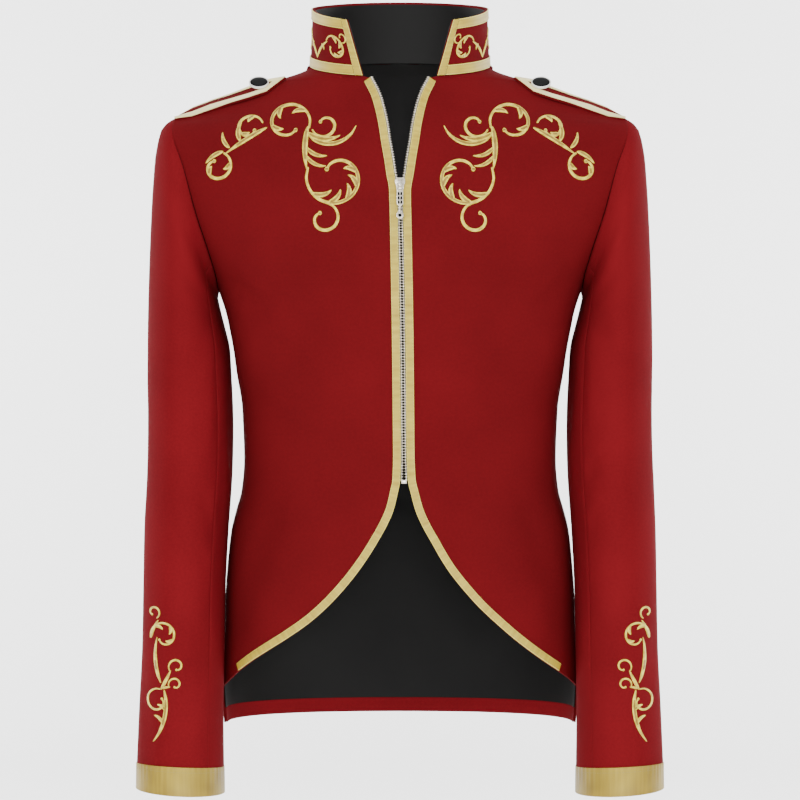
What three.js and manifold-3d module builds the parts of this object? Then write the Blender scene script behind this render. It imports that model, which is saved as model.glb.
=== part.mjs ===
// A stand-collar coat with a cutaway front, standing hollow as if it were worn.
// Millimetres, +Z up. The front faces -Y and the wearer's right side is at -X.
// The origin is the middle of the neck, level with the side neck points.

import * as THREE from 'three';
import * as BufferGeometryUtils from 'three/addons/utils/BufferGeometryUtils.js';
import Module from 'manifold-3d';

const wasm = await Module();
wasm.setup();

const degrees = Math.PI / 180;
const table = (columns, rows) => {
  const names = columns.split(' ');
  return rows.map((row) => Object.fromEntries(names.map((name, i) => [name, row[i]])));
};

// ---- Driving dimensions ----------------------------------------------------------------

const CLOTH = 2.0;        // wall of the woollen cloth with its interlining
const LINING = 1.0;
const LINING_SLACK = 0.8; // between the back and its lining
const LINING_NECK_DROP = 2;
const RIBBON = 0.9;       // satin ribbon of the trims
const GAP = 0.3;          // between pieces that are sewn together
const LAY = 0.5;          // under a piece that lies on another

const HEM_Z = -617;       // lowest edge of the back
const FACING_TOP_Z = -603.5;
const ARMPIT_Z = -212;
const SHOULDER_Z = -50;   // top of the armhole
const ARMHOLE_FRONT = 55; // how far the armhole reaches forward and back
const ARMHOLE_BACK = 58;
const ARMHOLE_CELLS = 8;  // on each half of an armhole

const NECK = { halfWidth: 84, front: 70, back: 70, frontDrop: 18, backRise: 15 };
const COLLAR = {
  halfWidth: 82, front: 70, back: 72, height: 54, frontDrop: 22, backRise: 15,
  end: 156, topEnd: 143.3,       // degrees from the back middle, at the base and the top
  bandHeight: 0.175, endBand: 8, baseSlant: 0.6, lift: 0.5,
};
const NECK_FRONT_STEPS = [24, 33, 42, 54, 66, 78, 86];   // degrees from the front middle
const NECK_BACK_STEPS = [78, 66, 54, 42, 30, 15];        // degrees from the back middle

const TRIM = { width: 7, lowestZ: -565 };    // it stops short of the side seam
const ZIP = { teethWidth: 2.1, front: 0.2, back: -2.0, bottomZ: -386 };
const STOP = { below: 0.4, halfWidth: 2.4, proud: 0.5, deep: 2, height: 3.2 };

// The zip's slider and its pull tab, which swings on a bar under the slider's bridge.
const SLIDER = { z: -119.5, tilt: 13.7, halfWidth: 4.7, halfHeight: 5.4, plate: 1.3,
  front: 1.65, back: 2.4, postHalfWidth: 1.2, postHeight: 2.2,
  tailShare: 0.72, waistShare: 0.8, waistZ: -1.1, shoulderZ: 2.4, topShare: 0.3 };
const BRIDGE = { halfWidth: 0.8, low: -2.4, high: 1.5, leg: 1.0, clear: 2.35, crown: 0.8,
  barOff: 1.15 };
const PULL = { thickness: 1.2, barZ: -0.7, length: 33, halfWidth: 2.9, windowHalfWidth: 1.3,
  windowEnd: 7.0, linkEnd: 20, linkRound: 1.5, linkDip: 1, rung: 0.9, holeRows: 3,
  neck: 0.8, dropRadius: 3.3, dropTop: 4.5, dropWaist: 2.3, eyeSides: 12 };
const JOIN = 0.2;         // how far joined solids reach into each other

// The shoulder straps, laid along the shoulder with their point towards the neck.
const STRAP = { outerX: 210.5, length: 112, fall: 0.37, halfWidth: 15, point: 19,
  thickness: 1.8, trim: 8, across: 0.86, lay: 0.8, blunt: 0.6, seamClear: 0.5, tipShare: 0.06 };
const STRAP_STATIONS = [0, 18, 37, 56, 75];
const STRAP_LANES = [-1, -0.6, -0.2, 0.2, 0.6, 1];   // across it, as shares of the half width
const STRAP_CORE_DROP = 100;
const STRAP_MIDDLE = table('z y', [[0, -1], [45, -8], [85, -13], [112, -15]]);
const BUTTON = { station: 84, radius: 9.3, rim: 1.2, thickness: 3.4, tilt: 38, lift: 2.6,
  sides: 20 };
// Shares of the radius, the rim's width taken off it, and shares of the thickness.
const BUTTON_PROFILE = table('radius rims height', [
  [0, 0, 0], [0.55, 0, 0], [1, 0, 0.45], [1, 0, 0.75], [1, 0.4, 1],
  [1, 1, 1], [1, 1.25, 0.82], [0.5, 0, 0.95], [0, 0, 1],
]);

// Half width at the side seam, and the depths in front of and behind it. The roundness is
// the exponent of a superellipse: 2 is an ellipse, less is flatter towards the shoulder.
const BODY = table('z side front frontRound back backRound', [
  [-622, 165.0, 114, 2.3, 104, 2.3],
  [-581, 168.0, 114, 2.3, 104, 2.3],
  [-530, 165.5, 113, 2.3, 101, 2.3],
  [-480, 162.5, 110, 2.3, 97, 2.3],
  [-436, 158.0, 107, 2.3, 91, 2.3],
  [-417, 153.5, 106, 2.3, 88, 2.3],
  [-398, 148.5, 105.5, 2.3, 86, 2.3],
  [-370, 146.2, 106, 2.3, 85, 2.3],
  [-323, 148.0, 111, 2.3, 88, 2.3],
  [-286, 153.5, 117, 2.3, 93, 2.3],
  [-262, 156.5, 121, 2.3, 97, 2.3],
  [-235, 161.3, 124, 2.3, 101, 2.3],
  [-212, 170.0, 125, 2.3, 104, 2.3],
  [-181, 183.0, 124, 2.28, 107, 2.28],
  [-143, 205.0, 119, 2.15, 108, 2.15],
  [-98, 214.0, 108, 1.8, 106, 1.85],
  [-50, 211.0, 90, 1.25, 98, 1.4],
  [-32, 165.0, 84, 1.2, 93, 1.4],
  [-18, 129.6, 78, 1.2, 88, 1.5],
  [0, 84.0, 70, 1.2, 80, 1.9],
  [15, 84.0, 70, 1.2, 70.6, 2.0],
]);
const ARMHOLE = table('z x', [
  [-212, 170], [-203, 170.7], [-181, 176], [-143, 188], [-98, 200.5], [-64, 212], [-50, 213],
]);
// The zip leans a little, and the front edges part above the slider and in the cutaway.
const FRONT_EDGE = table('z middle gap', [
  [-580, 0, 165.0],
  [-572, 0, 157.5],
  [-564.5, -1, 149.0],
  [-553, -2, 134.0],
  [-545, -1.6, 122.8],
  [-530, 0.4, 102.0],
  [-515, 2.3, 83.2],
  [-500.5, 2.8, 67.6],
  [-486, 3.1, 54.4],
  [-471.5, 3.2, 42.7],
  [-457, 3.6, 32.8],
  [-442.5, 4.0, 24.2],
  [-428, 4.0, 16.1],
  [-413.5, 4.0, 9.8],
  [-399, 3.8, 6.1],
  [-386, 3.6, 3.4],
  [-362, 3.4, 2.6],
  [-250, 2.3, 2.6],
  [-140, 0.3, 2.6],
  [-124, 0, 2.8],
  [-110, 0, 5.2],
  [-95, 0, 7.4],
  [-80, 0, 10.0],
  [-65, 0, 12.2],
  [-50, 0, 15.2],
  [-35, 0, 19.4],
  [-18.6, 0, 27.0],
  [-16, 0, 28.0],
]);
// Rings of a sleeve: its inner and outer points, its middle in depth, and half its depth.
const SLEEVE = table('innerX innerZ outerX outerZ middle depth', [
  [171.2, -218, 222.5, -58, -1, 58],
  [170.3, -223, 228.3, -78, -1, 60],
  [168.8, -229, 231.3, -108, -2, 61.5],
  [166.8, -237, 233.5, -146, -2, 62],
  [163.8, -248, 235.2, -192, -3, 62],
  [160.0, -264, 236.3, -238, -4, 61.5],
  [158.0, -292, 236.6, -286, -6, 60.5],
  [156.2, -330, 236.4, -330, -9, 59],
  [156.4, -380, 236.6, -380, -17, 57.5],
  [159.8, -436, 238.0, -436, -25, 56],
  [162.0, -492, 238.1, -490, -35, 54.5],
  [162.4, -547, 238.4, -544, -44, 53],
  [162.9, -600, 240.4, -596, -51, 52],
  [162.2, -651, 242.3, -647, -55, 51],
]);
const CUFF = table('innerX innerZ outerX outerZ middle depth', [
  [161.9, -651.5, 242.7, -647.5, -55, 51.3],
  [161.5, -663, 243.0, -658.5, -55.5, 51.9],
  [161.3, -675, 243.2, -670, -56, 52.2],
]);
const SLEEVE_SEAM = 2;    // cells from the inner line to the forearm and hind arm seams

// ---- Numbers along a table ---------------------------------------------------------------

// A smooth curve through one column of a table, without overshoot between its rows.
function along(rows, z, column) {
  const at = Math.min(Math.max(z, rows[0].z), rows.at(-1).z);
  let i = 0;
  while (i < rows.length - 2 && at > rows[i + 1].z) i += 1;
  const rise = (k) => (rows[k + 1][column] - rows[k][column]) / (rows[k + 1].z - rows[k].z);
  const slope = (k) => {
    if (k === 0) return rise(0);
    if (k === rows.length - 1) return rise(k - 1);
    const before = rise(k - 1);
    const after = rise(k);
    return before * after <= 0 ? 0 : 2 * before * after / (before + after);
  };
  const step = rows[i + 1].z - rows[i].z;
  const u = (at - rows[i].z) / step;
  const from = rows[i][column];
  const to = rows[i + 1][column];
  return from * (1 + 2 * u) * (1 - u) ** 2 + to * u * u * (3 - 2 * u)
    + step * (slope(i) * u * (1 - u) ** 2 - slope(i + 1) * u * u * (1 - u));
}

// ---- Walls from grids of points ------------------------------------------------------------

const mirrored = (grid) => grid.map((row) => row.map((p) => new THREE.Vector3(-p.x, p.y, p.z)));

// Normals of a grid, pointing away from the point that `core` gives for each row.
function normalsOf(grid, core, closed = false) {
  const last = grid[0].length - 1;
  const wrap = (j) => (closed ? (j + last + 1) % (last + 1) : Math.min(Math.max(j, 0), last));
  const normals = grid.map((row, i) => row.map((p, j) => {
    const above = grid[Math.min(i + 1, grid.length - 1)][j];
    const below = grid[Math.max(i - 1, 0)][j];
    const across = row[wrap(j + 1)].clone().sub(row[wrap(j - 1)]);
    return across.cross(above.clone().sub(below)).normalize();
  }));
  const i = Math.floor(grid.length / 2);
  const j = Math.floor(last / 2);
  const outwards = normals[i][j].dot(grid[i][j].clone().sub(core(i))) > 0;
  if (!outwards) normals.forEach((row) => row.forEach((n) => n.negate()));
  return normals;
}

const moved = (grid, normals, distance) => grid.map((row, i) => row.map(
  (p, j) => p.clone().addScaledVector(normals[i][j], distance)));

// The closed wall between an outer and an inner grid; a closed one is a tube.
function wall(outer, inner, closed = false) {
  const rows = outer.length;
  const columns = outer[0].length;
  const points = [...outer.flat(), ...inner.flat()];
  const faces = [];
  const quad = (a, b, c, d) => faces.push(a, b, c, a, c, d);
  const out = (i, j) => i * columns + (j % columns);
  const into = (i, j) => rows * columns + out(i, j);
  const cells = closed ? columns : columns - 1;
  for (let i = 0; i < rows - 1; i += 1) {
    for (let j = 0; j < cells; j += 1) {
      quad(out(i, j), out(i, j + 1), out(i + 1, j + 1), out(i + 1, j));
      quad(into(i, j), into(i + 1, j), into(i + 1, j + 1), into(i, j + 1));
    }
    if (!closed) {
      quad(out(i, 0), out(i + 1, 0), into(i + 1, 0), into(i, 0));
      quad(out(i, cells), into(i, cells), into(i + 1, cells), out(i + 1, cells));
    }
  }
  for (let j = 0; j < cells; j += 1) {
    quad(out(0, j), into(0, j), into(0, j + 1), out(0, j + 1));
    quad(out(rows - 1, j), out(rows - 1, j + 1), into(rows - 1, j + 1), into(rows - 1, j));
  }
  const geometry = new THREE.BufferGeometry();
  geometry.setAttribute('position', new THREE.Float32BufferAttribute(
    points.flatMap((p) => [p.x, p.y, p.z]), 3));
  geometry.setIndex(volumeOf(points, faces) > 0 ? faces : faces.reverse());
  return geometry;
}

function volumeOf(points, faces) {
  let six = 0;
  for (let k = 0; k < faces.length; k += 3) {
    const [a, b, c] = [points[faces[k]], points[faces[k + 1]], points[faces[k + 2]]];
    six += a.dot(b.clone().cross(c));
  }
  return six;
}

// ---- The body's surface ------------------------------------------------------------------

const HALVES = {
  front: { sign: -1, depth: 'front', round: 'frontRound', armhole: ARMHOLE_FRONT },
  back: { sign: 1, depth: 'back', round: 'backRound', armhole: ARMHOLE_BACK },
};

// Half width, depth and roundness of the front or back at one height.
function section(z, half) {
  const { depth, round, armhole } = HALVES[half];
  const n = along(BODY, z, round);
  let b = along(BODY, z, depth);
  let a = along(BODY, z, 'side');
  if (z > ARMPIT_Z && z < SHOULDER_Z) {
    const y = armhole * Math.sin(armholeAngle(z));
    a = along(ARMHOLE, z, 'x') / (1 - (y / b) ** n) ** (1 / n);
  } else if (z > 0) {
    const turn = Math.acos(z / NECK.backRise);
    const y = NECK.back * Math.cos(turn);
    a = NECK.halfWidth * Math.sin(turn) / (1 - (y / b) ** n) ** (1 / n);
  } else if (half === 'front' && z > neckFrontZ(NECK_FRONT_STEPS[0]) - 0.1) {
    const turn = Math.acos(Math.min(-z / NECK.frontDrop, 1));
    const x = NECK.halfWidth * Math.sin(turn);
    b = NECK.front * Math.cos(turn) / (1 - (x / a) ** n) ** (1 / n);
  }
  return { a, b, n };
}

const neckFrontZ = (turn) => -NECK.frontDrop * Math.cos(turn * degrees);
const neckBackZ = (turn) => NECK.backRise * Math.cos(turn * degrees);

// The angle round the armhole, 0 at the armpit and a half turn at the shoulder.
function armholeAngle(z) {
  const share = (z - ARMPIT_Z) / (SHOULDER_Z - ARMPIT_Z);
  return Math.acos(Math.min(Math.max(1 - 2 * share, -1), 1));
}
const armholeZ = (k) => ARMPIT_Z
  + (SHOULDER_Z - ARMPIT_Z) * (1 - Math.cos(Math.PI * k / ARMHOLE_CELLS)) / 2;
const armholeSteps = (from, to) => Array.from({ length: to - from + 1 }, (_, k) => armholeZ(from + k));

const signedPower = (value, power) => Math.sign(value) * Math.abs(value) ** power;

function bodyPoint({ a, b, n }, turn, z, sign) {
  return new THREE.Vector3(a * signedPower(Math.sin(turn), 2 / n),
    sign * b * Math.cos(turn) ** (2 / n), z);
}

// Where a row begins and ends, as turns round its section.
function rowSpan(z, half, shape, from) {
  const start = Math.asin(signedPower(from / shape.a, shape.n / 2));
  let end = Math.PI / 2;
  if (z > ARMPIT_Z && z < SHOULDER_Z) {
    const y = HALVES[half].armhole * Math.sin(armholeAngle(z));
    end = Math.acos((y / shape.b) ** (shape.n / 2));
  } else if (z > 0) {
    end = Math.acos((NECK.back * z / NECK.backRise / shape.b) ** (shape.n / 2));
  }
  return { start, end };
}

// A row of the front or back at one height, from x = `from` out to the side, the armhole
// or the shoulder seam, with a first cell of its own width where one is asked for. All
// rows are made on the +X side.
function bodyRow(z, half, from, cells, firstCell = 0) {
  const { sign } = HALVES[half];
  const shape = section(z, half);
  const { start, end } = rowSpan(z, half, shape, from);
  const at = (share) => bodyPoint(shape, start + (end - start) * share, z, sign);
  let first = 1 / cells;
  if (firstCell > 0) {
    let [low, high] = [0, FIRST_CELL_MOST];
    for (let k = 0; k < HALVINGS; k += 1) {
      first = (low + high) / 2;
      if (at(first).distanceTo(at(0)) < firstCell) low = first;
      else high = first;
    }
  }
  const shares = [0, ...Array.from({ length: cells },
    (_, j) => first + (1 - first) * j / (cells - 1))];
  return shares.map((share, j) => {
    const p = at(share);
    if (end === Math.PI / 2 && j === cells) p.y = sign * GAP / 2;
    return p;
  });
}

const BODY_CORE_DROP = 60;   // the core of a row lies below it, so that shoulders face up
const bodyCore = (grid) => (i) => new THREE.Vector3(0, 0, grid[i][0].z - BODY_CORE_DROP);

// At the side and shoulder seams both walls end in the plane of the seam.
function squareAtSeam(grid, normals) {
  const seamColumns = [0, grid[0].length - 1];
  grid.forEach((row, i) => seamColumns.forEach((j) => {
    if (Math.abs(Math.abs(row[j].y) - GAP / 2) < 0.01) normals[i][j].setY(0).normalize();
  }));
}

// ---- Fronts and back -----------------------------------------------------------------------

const FRONT_CELLS = 8;
const FINE_CELLS = 32;    // for the direction in which a row leaves the edge
const FIRST_CELL_MOST = 0.3;
const HALVINGS = 20;      // rounds of halving that find the first cell's width
const BACK_CELLS = 8;     // on each side of the middle

const edgeHeights = FRONT_EDGE.map((row) => row.z);
const WAIST_TOP_Z = -350;
const waistHeights = [-338, -312, -286, -262, -236];
const frontHeights = [
  ...edgeHeights.filter((z) => z < WAIST_TOP_Z),
  ...waistHeights,
  ...armholeSteps(0, ARMHOLE_CELLS),
  -41, -30, -18.6,
];

// The first cell of each row is as wide as the ribbon that lies on it, measured square to
// the edge.
function frontGrid(side) {
  const rows = [
    ...frontHeights.map((z) => ({ z,
      from: along(FRONT_EDGE, z, 'gap') + side * along(FRONT_EDGE, z, 'middle') })),
    ...NECK_FRONT_STEPS.map((turn) => ({ z: neckFrontZ(turn),
      from: NECK.halfWidth * Math.sin(turn * degrees) })),
  ];
  const starts = rows.map(({ z, from }) => bodyRow(z, 'front', from, FINE_CELLS).slice(0, 2));
  return rows.map(({ z, from }, i) => {
    const before = starts[Math.max(i - 1, 0)][0];
    const after = starts[Math.min(i + 1, starts.length - 1)][0];
    const edge = after.clone().sub(before).normalize();
    const outwards = starts[i][1].clone().sub(starts[i][0]).normalize();
    const aslant = Math.sqrt(1 - edge.dot(outwards) ** 2);
    return bodyRow(z, 'front', from, FRONT_CELLS, TRIM.width / aslant);
  });
}

const backHeights = [
  HEM_Z, FACING_TOP_Z - GAP / 2, -582, -556, -530, -500, -470, -440, -417, -398, -382, -361,
  ...waistHeights,
  ...armholeSteps(0, ARMHOLE_CELLS),
  -41, -30, -18, -9, 0,
  ...NECK_BACK_STEPS.map(neckBackZ),
];

function backGrid(cells = BACK_CELLS) {
  return backHeights.map((z) => {
    const half = bodyRow(z, 'back', 0, cells);
    const other = half.slice(1).reverse().map((p) => new THREE.Vector3(-p.x, p.y, p.z));
    return [...other, ...half];
  });
}

// ---- Armhole seams ---------------------------------------------------------------------------

const ARMHOLE_FIRST_FRONT = frontHeights.indexOf(armholeZ(0));
const ARMHOLE_FIRST_BACK = backHeights.indexOf(armholeZ(0));

// The armhole's points and the panels' normals there, round from the armpit: up the front,
// over the shoulder and down the back.
function armholeRing(front, frontNormals, back, backNormals) {
  const ring = [];
  const outer = back[0].length - 1;
  for (let k = 0; k <= ARMHOLE_CELLS; k += 1) {
    const i = ARMHOLE_FIRST_FRONT + k;
    ring.push({ p: front[i][FRONT_CELLS], n: frontNormals[i][FRONT_CELLS],
      into: front[i][FRONT_CELLS - 1] });
  }
  for (let k = ARMHOLE_CELLS - 1; k > 0; k -= 1) {
    const i = ARMHOLE_FIRST_BACK + k;
    ring.push({ p: back[i][outer], n: backNormals[i][outer], into: back[i][outer - 1] });
  }
  return ring;
}

function sleeveRing({ innerX, innerZ, outerX, outerZ, middle, depth }) {
  const count = 2 * ARMHOLE_CELLS;
  return Array.from({ length: count }, (_, k) => {
    const turn = Math.PI * k / ARMHOLE_CELLS;
    const share = (1 - Math.cos(turn)) / 2;
    return new THREE.Vector3(
      innerX + (outerX - innerX) * share,
      middle - depth * Math.sin(turn),
      innerZ + (outerZ - innerZ) * share,
    );
  });
}

// Where two walls meet at an angle, both end on the plane that halves it.
const MITRE_LEAST = 0.6;
const MITRE_GAP = GAP * 1.4;   // leaves GAP between the pieces, measured square to the seam
function mitre(a, b) {
  const middle = a.clone().add(b).normalize();
  const share = middle.dot(a);
  return share > MITRE_LEAST ? middle.divideScalar(share) : null;
}

function sleeveGrid(ring) {
  const lower = SLEEVE.map(sleeveRing);
  const first = ring.map(({ p, into }, k) => {
    const sleeveWay = lower[0][k].clone().sub(p).normalize();
    const panelWay = into.clone().sub(p).normalize();
    return p.clone().addScaledVector(sleeveWay.sub(panelWay).normalize(), MITRE_GAP);
  });
  return [first, ...lower];
}

const ringCore = (grid) => (i) => grid[i]
  .reduce((sum, p) => sum.add(p), new THREE.Vector3()).divideScalar(grid[i].length);

// ---- The collar --------------------------------------------------------------------------------

const COLLAR_STEPS = [0, 15, 30, 42, 54, 66, 78, 90,
  ...[...NECK_FRONT_STEPS].reverse().map((turn) => 180 - turn)];

// A point of the collar: `turn` in degrees from the back middle, `up` from 0 at the neck
// seam to 1 at the rim.
function collarPoint(turn, up, lift = 0) {
  const size = Math.abs(turn);
  const topSize = size <= 90 ? size
    : 90 + (size - 90) * (COLLAR.topEnd - 90) / (COLLAR.end - 90);
  const at = (angle, halfWidth, front, back, drop, rise, z) => {
    const cos = Math.cos(angle * degrees);
    return new THREE.Vector3(halfWidth * Math.sin(angle * degrees),
      cos * (cos < 0 ? front : back), z + cos * (cos < 0 ? drop : rise));
  };
  const low = at(size, NECK.halfWidth, NECK.front, NECK.back, NECK.frontDrop, NECK.backRise, lift);
  const high = at(topSize, COLLAR.halfWidth, COLLAR.front, COLLAR.back, COLLAR.frontDrop,
    COLLAR.backRise, COLLAR.height);
  const p = low.lerp(high, up);
  return turn < 0 ? p.setX(-p.x) : p;
}

const allSteps = (steps) => [...steps.slice(1).reverse().map((turn) => -turn), ...steps];
const collarGrid = (ups, steps = COLLAR_STEPS) => ups.map((up) => allSteps(steps)
  .map((turn) => collarPoint(turn, up, COLLAR.lift)));
const collarCore = (grid) => (i) => new THREE.Vector3(0, 0, grid[i][0].z);

// The degrees that a width takes up at the collar's front end.
const endBandTurn = (width) => width / (NECK.halfWidth * degrees);

// ---- The scene graph -----------------------------------------------------------------------------

const cloth = (color, roughness, metalness = 0) => new THREE.MeshStandardMaterial({
  color, roughness, metalness });
const MATERIALS = {
  red: cloth('#8a171c', 0.85),
  sleeveRed: cloth('#931b22', 0.85),
  lining: cloth('#292927', 0.6),
  gold: cloth('#a9965b', 0.4, 0.2),
  cuff: cloth('#b09d60', 0.4, 0.2),
  cream: cloth('#ebe1b9', 0.5),
  black: cloth('#111111', 0.3),
  metal: cloth('#d9c79a', 0.3, 0.9),
};

const coat = new THREE.Group();
coat.name = 'coat';

function add(name, geometry, material, parent = coat) {
  const mesh = new THREE.Mesh(geometry, MATERIALS[material]);
  mesh.name = name;
  parent.add(mesh);
  return mesh;
}

// A layer on or under a grid: from `near` to `near + thickness` outwards of it.
const layer = (grid, normals, near, thickness) => wall(
  moved(grid, normals, near + thickness), moved(grid, normals, near));

// ---- Body and sleeves ------------------------------------------------------------------------------

const back = backGrid();
const backNormals = normalsOf(back, bodyCore(back));
squareAtSeam(back, backNormals);
const backInner = moved(back, backNormals, -CLOTH);

const SIDES = [
  { name: 'right', sign: -1 },   // the wearer's right, at -X
  { name: 'left', sign: 1 },
];

const fronts = {};
for (const { name, sign } of SIDES) {
  const front = frontGrid(sign);
  const frontNormals = normalsOf(front, bodyCore(front));
  squareAtSeam(front, frontNormals);
  const frontInner = moved(front, frontNormals, -CLOTH);
  const ring = armholeRing(front, frontNormals, back, backNormals);
  const sleeve = sleeveGrid(ring);
  const sleeveNormals = normalsOf(sleeve, ringCore(sleeve), true);
  const sleeveInner = moved(sleeve, sleeveNormals, -CLOTH);

  ring.forEach(({ p, n }, k) => {
    const way = mitre(n, sleeveNormals[0][k]);
    if (!way) return;
    const shift = sleeve[0][k].clone().sub(p);
    const inner = p.clone().addScaledVector(way, -CLOTH);
    sleeveInner[0][k] = inner.clone().add(shift);
    if (k <= ARMHOLE_CELLS) frontInner[ARMHOLE_FIRST_FRONT + k][FRONT_CELLS] = inner;
    if (k >= ARMHOLE_CELLS) {
      const i = ARMHOLE_FIRST_BACK + 2 * ARMHOLE_CELLS - k;
      const j = sign > 0 ? 2 * BACK_CELLS : 0;
      backInner[i][j] = sign > 0 ? inner.clone() : new THREE.Vector3(-inner.x, inner.y, inner.z);
    }
  });

  const placed = (grid) => (sign < 0 ? mirrored(grid) : grid);
  fronts[name] = { grid: front, normals: frontNormals, placed };
  add(`front_${name}`, wall(placed(front), placed(frontInner)), 'red');

  const count = 2 * ARMHOLE_CELLS;
  const strip = (grid, from, to) => grid.map((row) => {
    const cut = Array.from({ length: to - from + 1 }, (_, j) => row[(from + j + count) % count].clone());
    const inset = (end, next) => end.addScaledVector(next.clone().sub(end).normalize(), GAP / 2);
    inset(cut[0], cut[1]);
    inset(cut.at(-1), cut.at(-2));
    return cut;
  });
  const piece = (from, to) => wall(placed(strip(sleeve, from, to)), placed(strip(sleeveInner, from, to)));
  add(`sleeve_top_${name}`, piece(SLEEVE_SEAM, count - SLEEVE_SEAM), 'sleeveRed');
  add(`sleeve_under_${name}`, piece(-SLEEVE_SEAM, SLEEVE_SEAM), 'sleeveRed');

  const cuff = CUFF.map(sleeveRing);
  const cuffNormals = normalsOf(cuff, ringCore(cuff), true);
  add(`cuff_${name}`, wall(placed(cuff), placed(moved(cuff, cuffNormals, -CLOTH)), true), 'cuff');
}

add('back', wall(back, backInner), 'red');

// ---- Inside of the back ------------------------------------------------------------------------------

// The lining and the turned-up hem follow the back's own points, moved in. The lining
// ends a little lower than the back where the collar's own lining takes over.
const everyOther = (grid) => grid.map((row) => row.filter((_, j) => j % 2 === 0));
const inside = -CLOTH - LINING_SLACK - LINING;
const liningNormals = everyOther(backNormals).slice(1);
const liningGrid = everyOther(back).slice(1).map((row) => row.map((p) => p.clone()
  .setZ(p.z - LINING_NECK_DROP * Math.max(0, (p.z + NECK.frontDrop) / NECK.frontDrop))));
liningGrid[0].forEach((p) => p.setZ(FACING_TOP_Z + GAP));
add('back_lining', layer(liningGrid, liningNormals, inside, LINING), 'lining');
const facingGrid = everyOther(back).slice(0, 2);
add('back_hem_facing', layer(facingGrid, everyOther(backNormals).slice(0, 2),
  -CLOTH - GAP - LINING, LINING), 'red');

// ---- Front trims and zip -------------------------------------------------------------------------------

// Each ribbon lies on the first cells of its front, and the teeth stand off the edge.
for (const { name } of SIDES) {
  const { placed, grid, normals } = fronts[name];
  const rowsAbove = (list, lowest) => list.filter((_, i) => grid[i][0].z > lowest
    && grid[i][0].z < neckFrontZ(0));
  const trim = rowsAbove(grid, TRIM.lowestZ).map((row) => row.slice(0, 2));
  const trimNormals = rowsAbove(normals, TRIM.lowestZ).map((row) => row.slice(0, 2));
  add(`front_trim_${name}`, wall(placed(moved(trim, trimNormals, GAP + RIBBON)),
    placed(moved(trim, trimNormals, GAP))), 'gold');
  const teeth = rowsAbove(grid, ZIP.bottomZ - 1).map((row) => {
    const way = row[0].clone().sub(row[1]).normalize();
    return [GAP, GAP + ZIP.teethWidth].map((off) => row[0].clone().addScaledVector(way, off));
  });
  const teethNormals = rowsAbove(normals, ZIP.bottomZ - 1).map((row) => [row[0], row[0]]);
  add(`zip_teeth_${name}`, wall(placed(moved(teeth, teethNormals, ZIP.front)),
    placed(moved(teeth, teethNormals, ZIP.back))), 'metal');
}

const solid = (geometry) => {
  const bare = geometry.clone();
  bare.deleteAttribute('normal');
  bare.deleteAttribute('uv');
  const merged = BufferGeometryUtils.mergeVertices(bare, 1e-4);
  return new wasm.Manifold(new wasm.Mesh({ numProp: 3,
    vertProperties: new Float32Array(merged.attributes.position.array),
    triVerts: new Uint32Array(merged.index.array) }));
};
const toGeometry = (manifold) => {
  const mesh = manifold.getMesh();
  const geometry = new THREE.BufferGeometry();
  geometry.setAttribute('position', new THREE.BufferAttribute(
    new Float32Array(mesh.vertProperties), 3));
  geometry.setIndex(new THREE.BufferAttribute(new Uint32Array(mesh.triVerts), 1));
  return geometry;
};
const union = (geometries) => toGeometry(geometries.map(solid).reduce((all, one) => all.add(one)));
const cut = (geometry, tools) => toGeometry(tools.map(solid)
  .reduce((left, tool) => left.subtract(tool), solid(geometry)));

const box = (x0, x1, y0, y1, z0, z1) => new THREE.BoxGeometry(x1 - x0, y1 - y0, z1 - z0)
  .translate((x0 + x1) / 2, (y0 + y1) / 2, (z0 + z1) / 2);

// An outline's points, without the doubled ones where its curves join.
function outlinePoints(path, divisions = 5) {
  const points = path.getPoints(divisions);
  return points.filter((p, k) => p.distanceTo(points[(k + 1) % points.length]) > 1e-3);
}

// A flat plate drawn in x and z, filling the depths from y0 to y1.
function plate(drawn, y0, y1) {
  const geometry = new THREE.ExtrudeGeometry(new THREE.Shape(outlinePoints(drawn)),
    { depth: y1 - y0, bevelEnabled: false });
  return geometry.rotateX(Math.PI / 2).translate(0, y1, 0);
}

const edgeMiddle = (z) => along(FRONT_EDGE, z, 'middle');
const frontDepth = (z) => -section(z, 'front').b;

// The stop closes the teeth at their lower end.
const stopTop = ZIP.bottomZ - STOP.below;
const stop = box(edgeMiddle(stopTop) - STOP.halfWidth, edgeMiddle(stopTop) + STOP.halfWidth,
  frontDepth(stopTop) - STOP.proud, frontDepth(stopTop) + STOP.deep,
  stopTop - STOP.height, stopTop);
add('zip_stop', stop, 'metal');

const zipHead = new THREE.Group();
zipHead.position.set(edgeMiddle(SLIDER.z), frontDepth(SLIDER.z), SLIDER.z);
zipHead.rotation.x = -SLIDER.tilt * degrees;
coat.add(zipHead);

function sliderShape() {
  const { halfWidth: w, halfHeight: h, waistZ, shoulderZ } = SLIDER;
  const [tail, waist, top] = [w * SLIDER.tailShare, w * SLIDER.waistShare, w * SLIDER.topShare];
  const shape = new THREE.Shape();
  shape.moveTo(-tail, -h);
  shape.lineTo(tail, -h);
  shape.lineTo(waist, waistZ);
  shape.quadraticCurveTo(w, 0, w, shoulderZ);
  shape.quadraticCurveTo(w, h, top, h);
  shape.lineTo(-top, h);
  shape.quadraticCurveTo(-w, h, -w, shoulderZ);
  shape.quadraticCurveTo(-w, 0, -waist, waistZ);
  shape.closePath();
  return shape;
}

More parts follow.
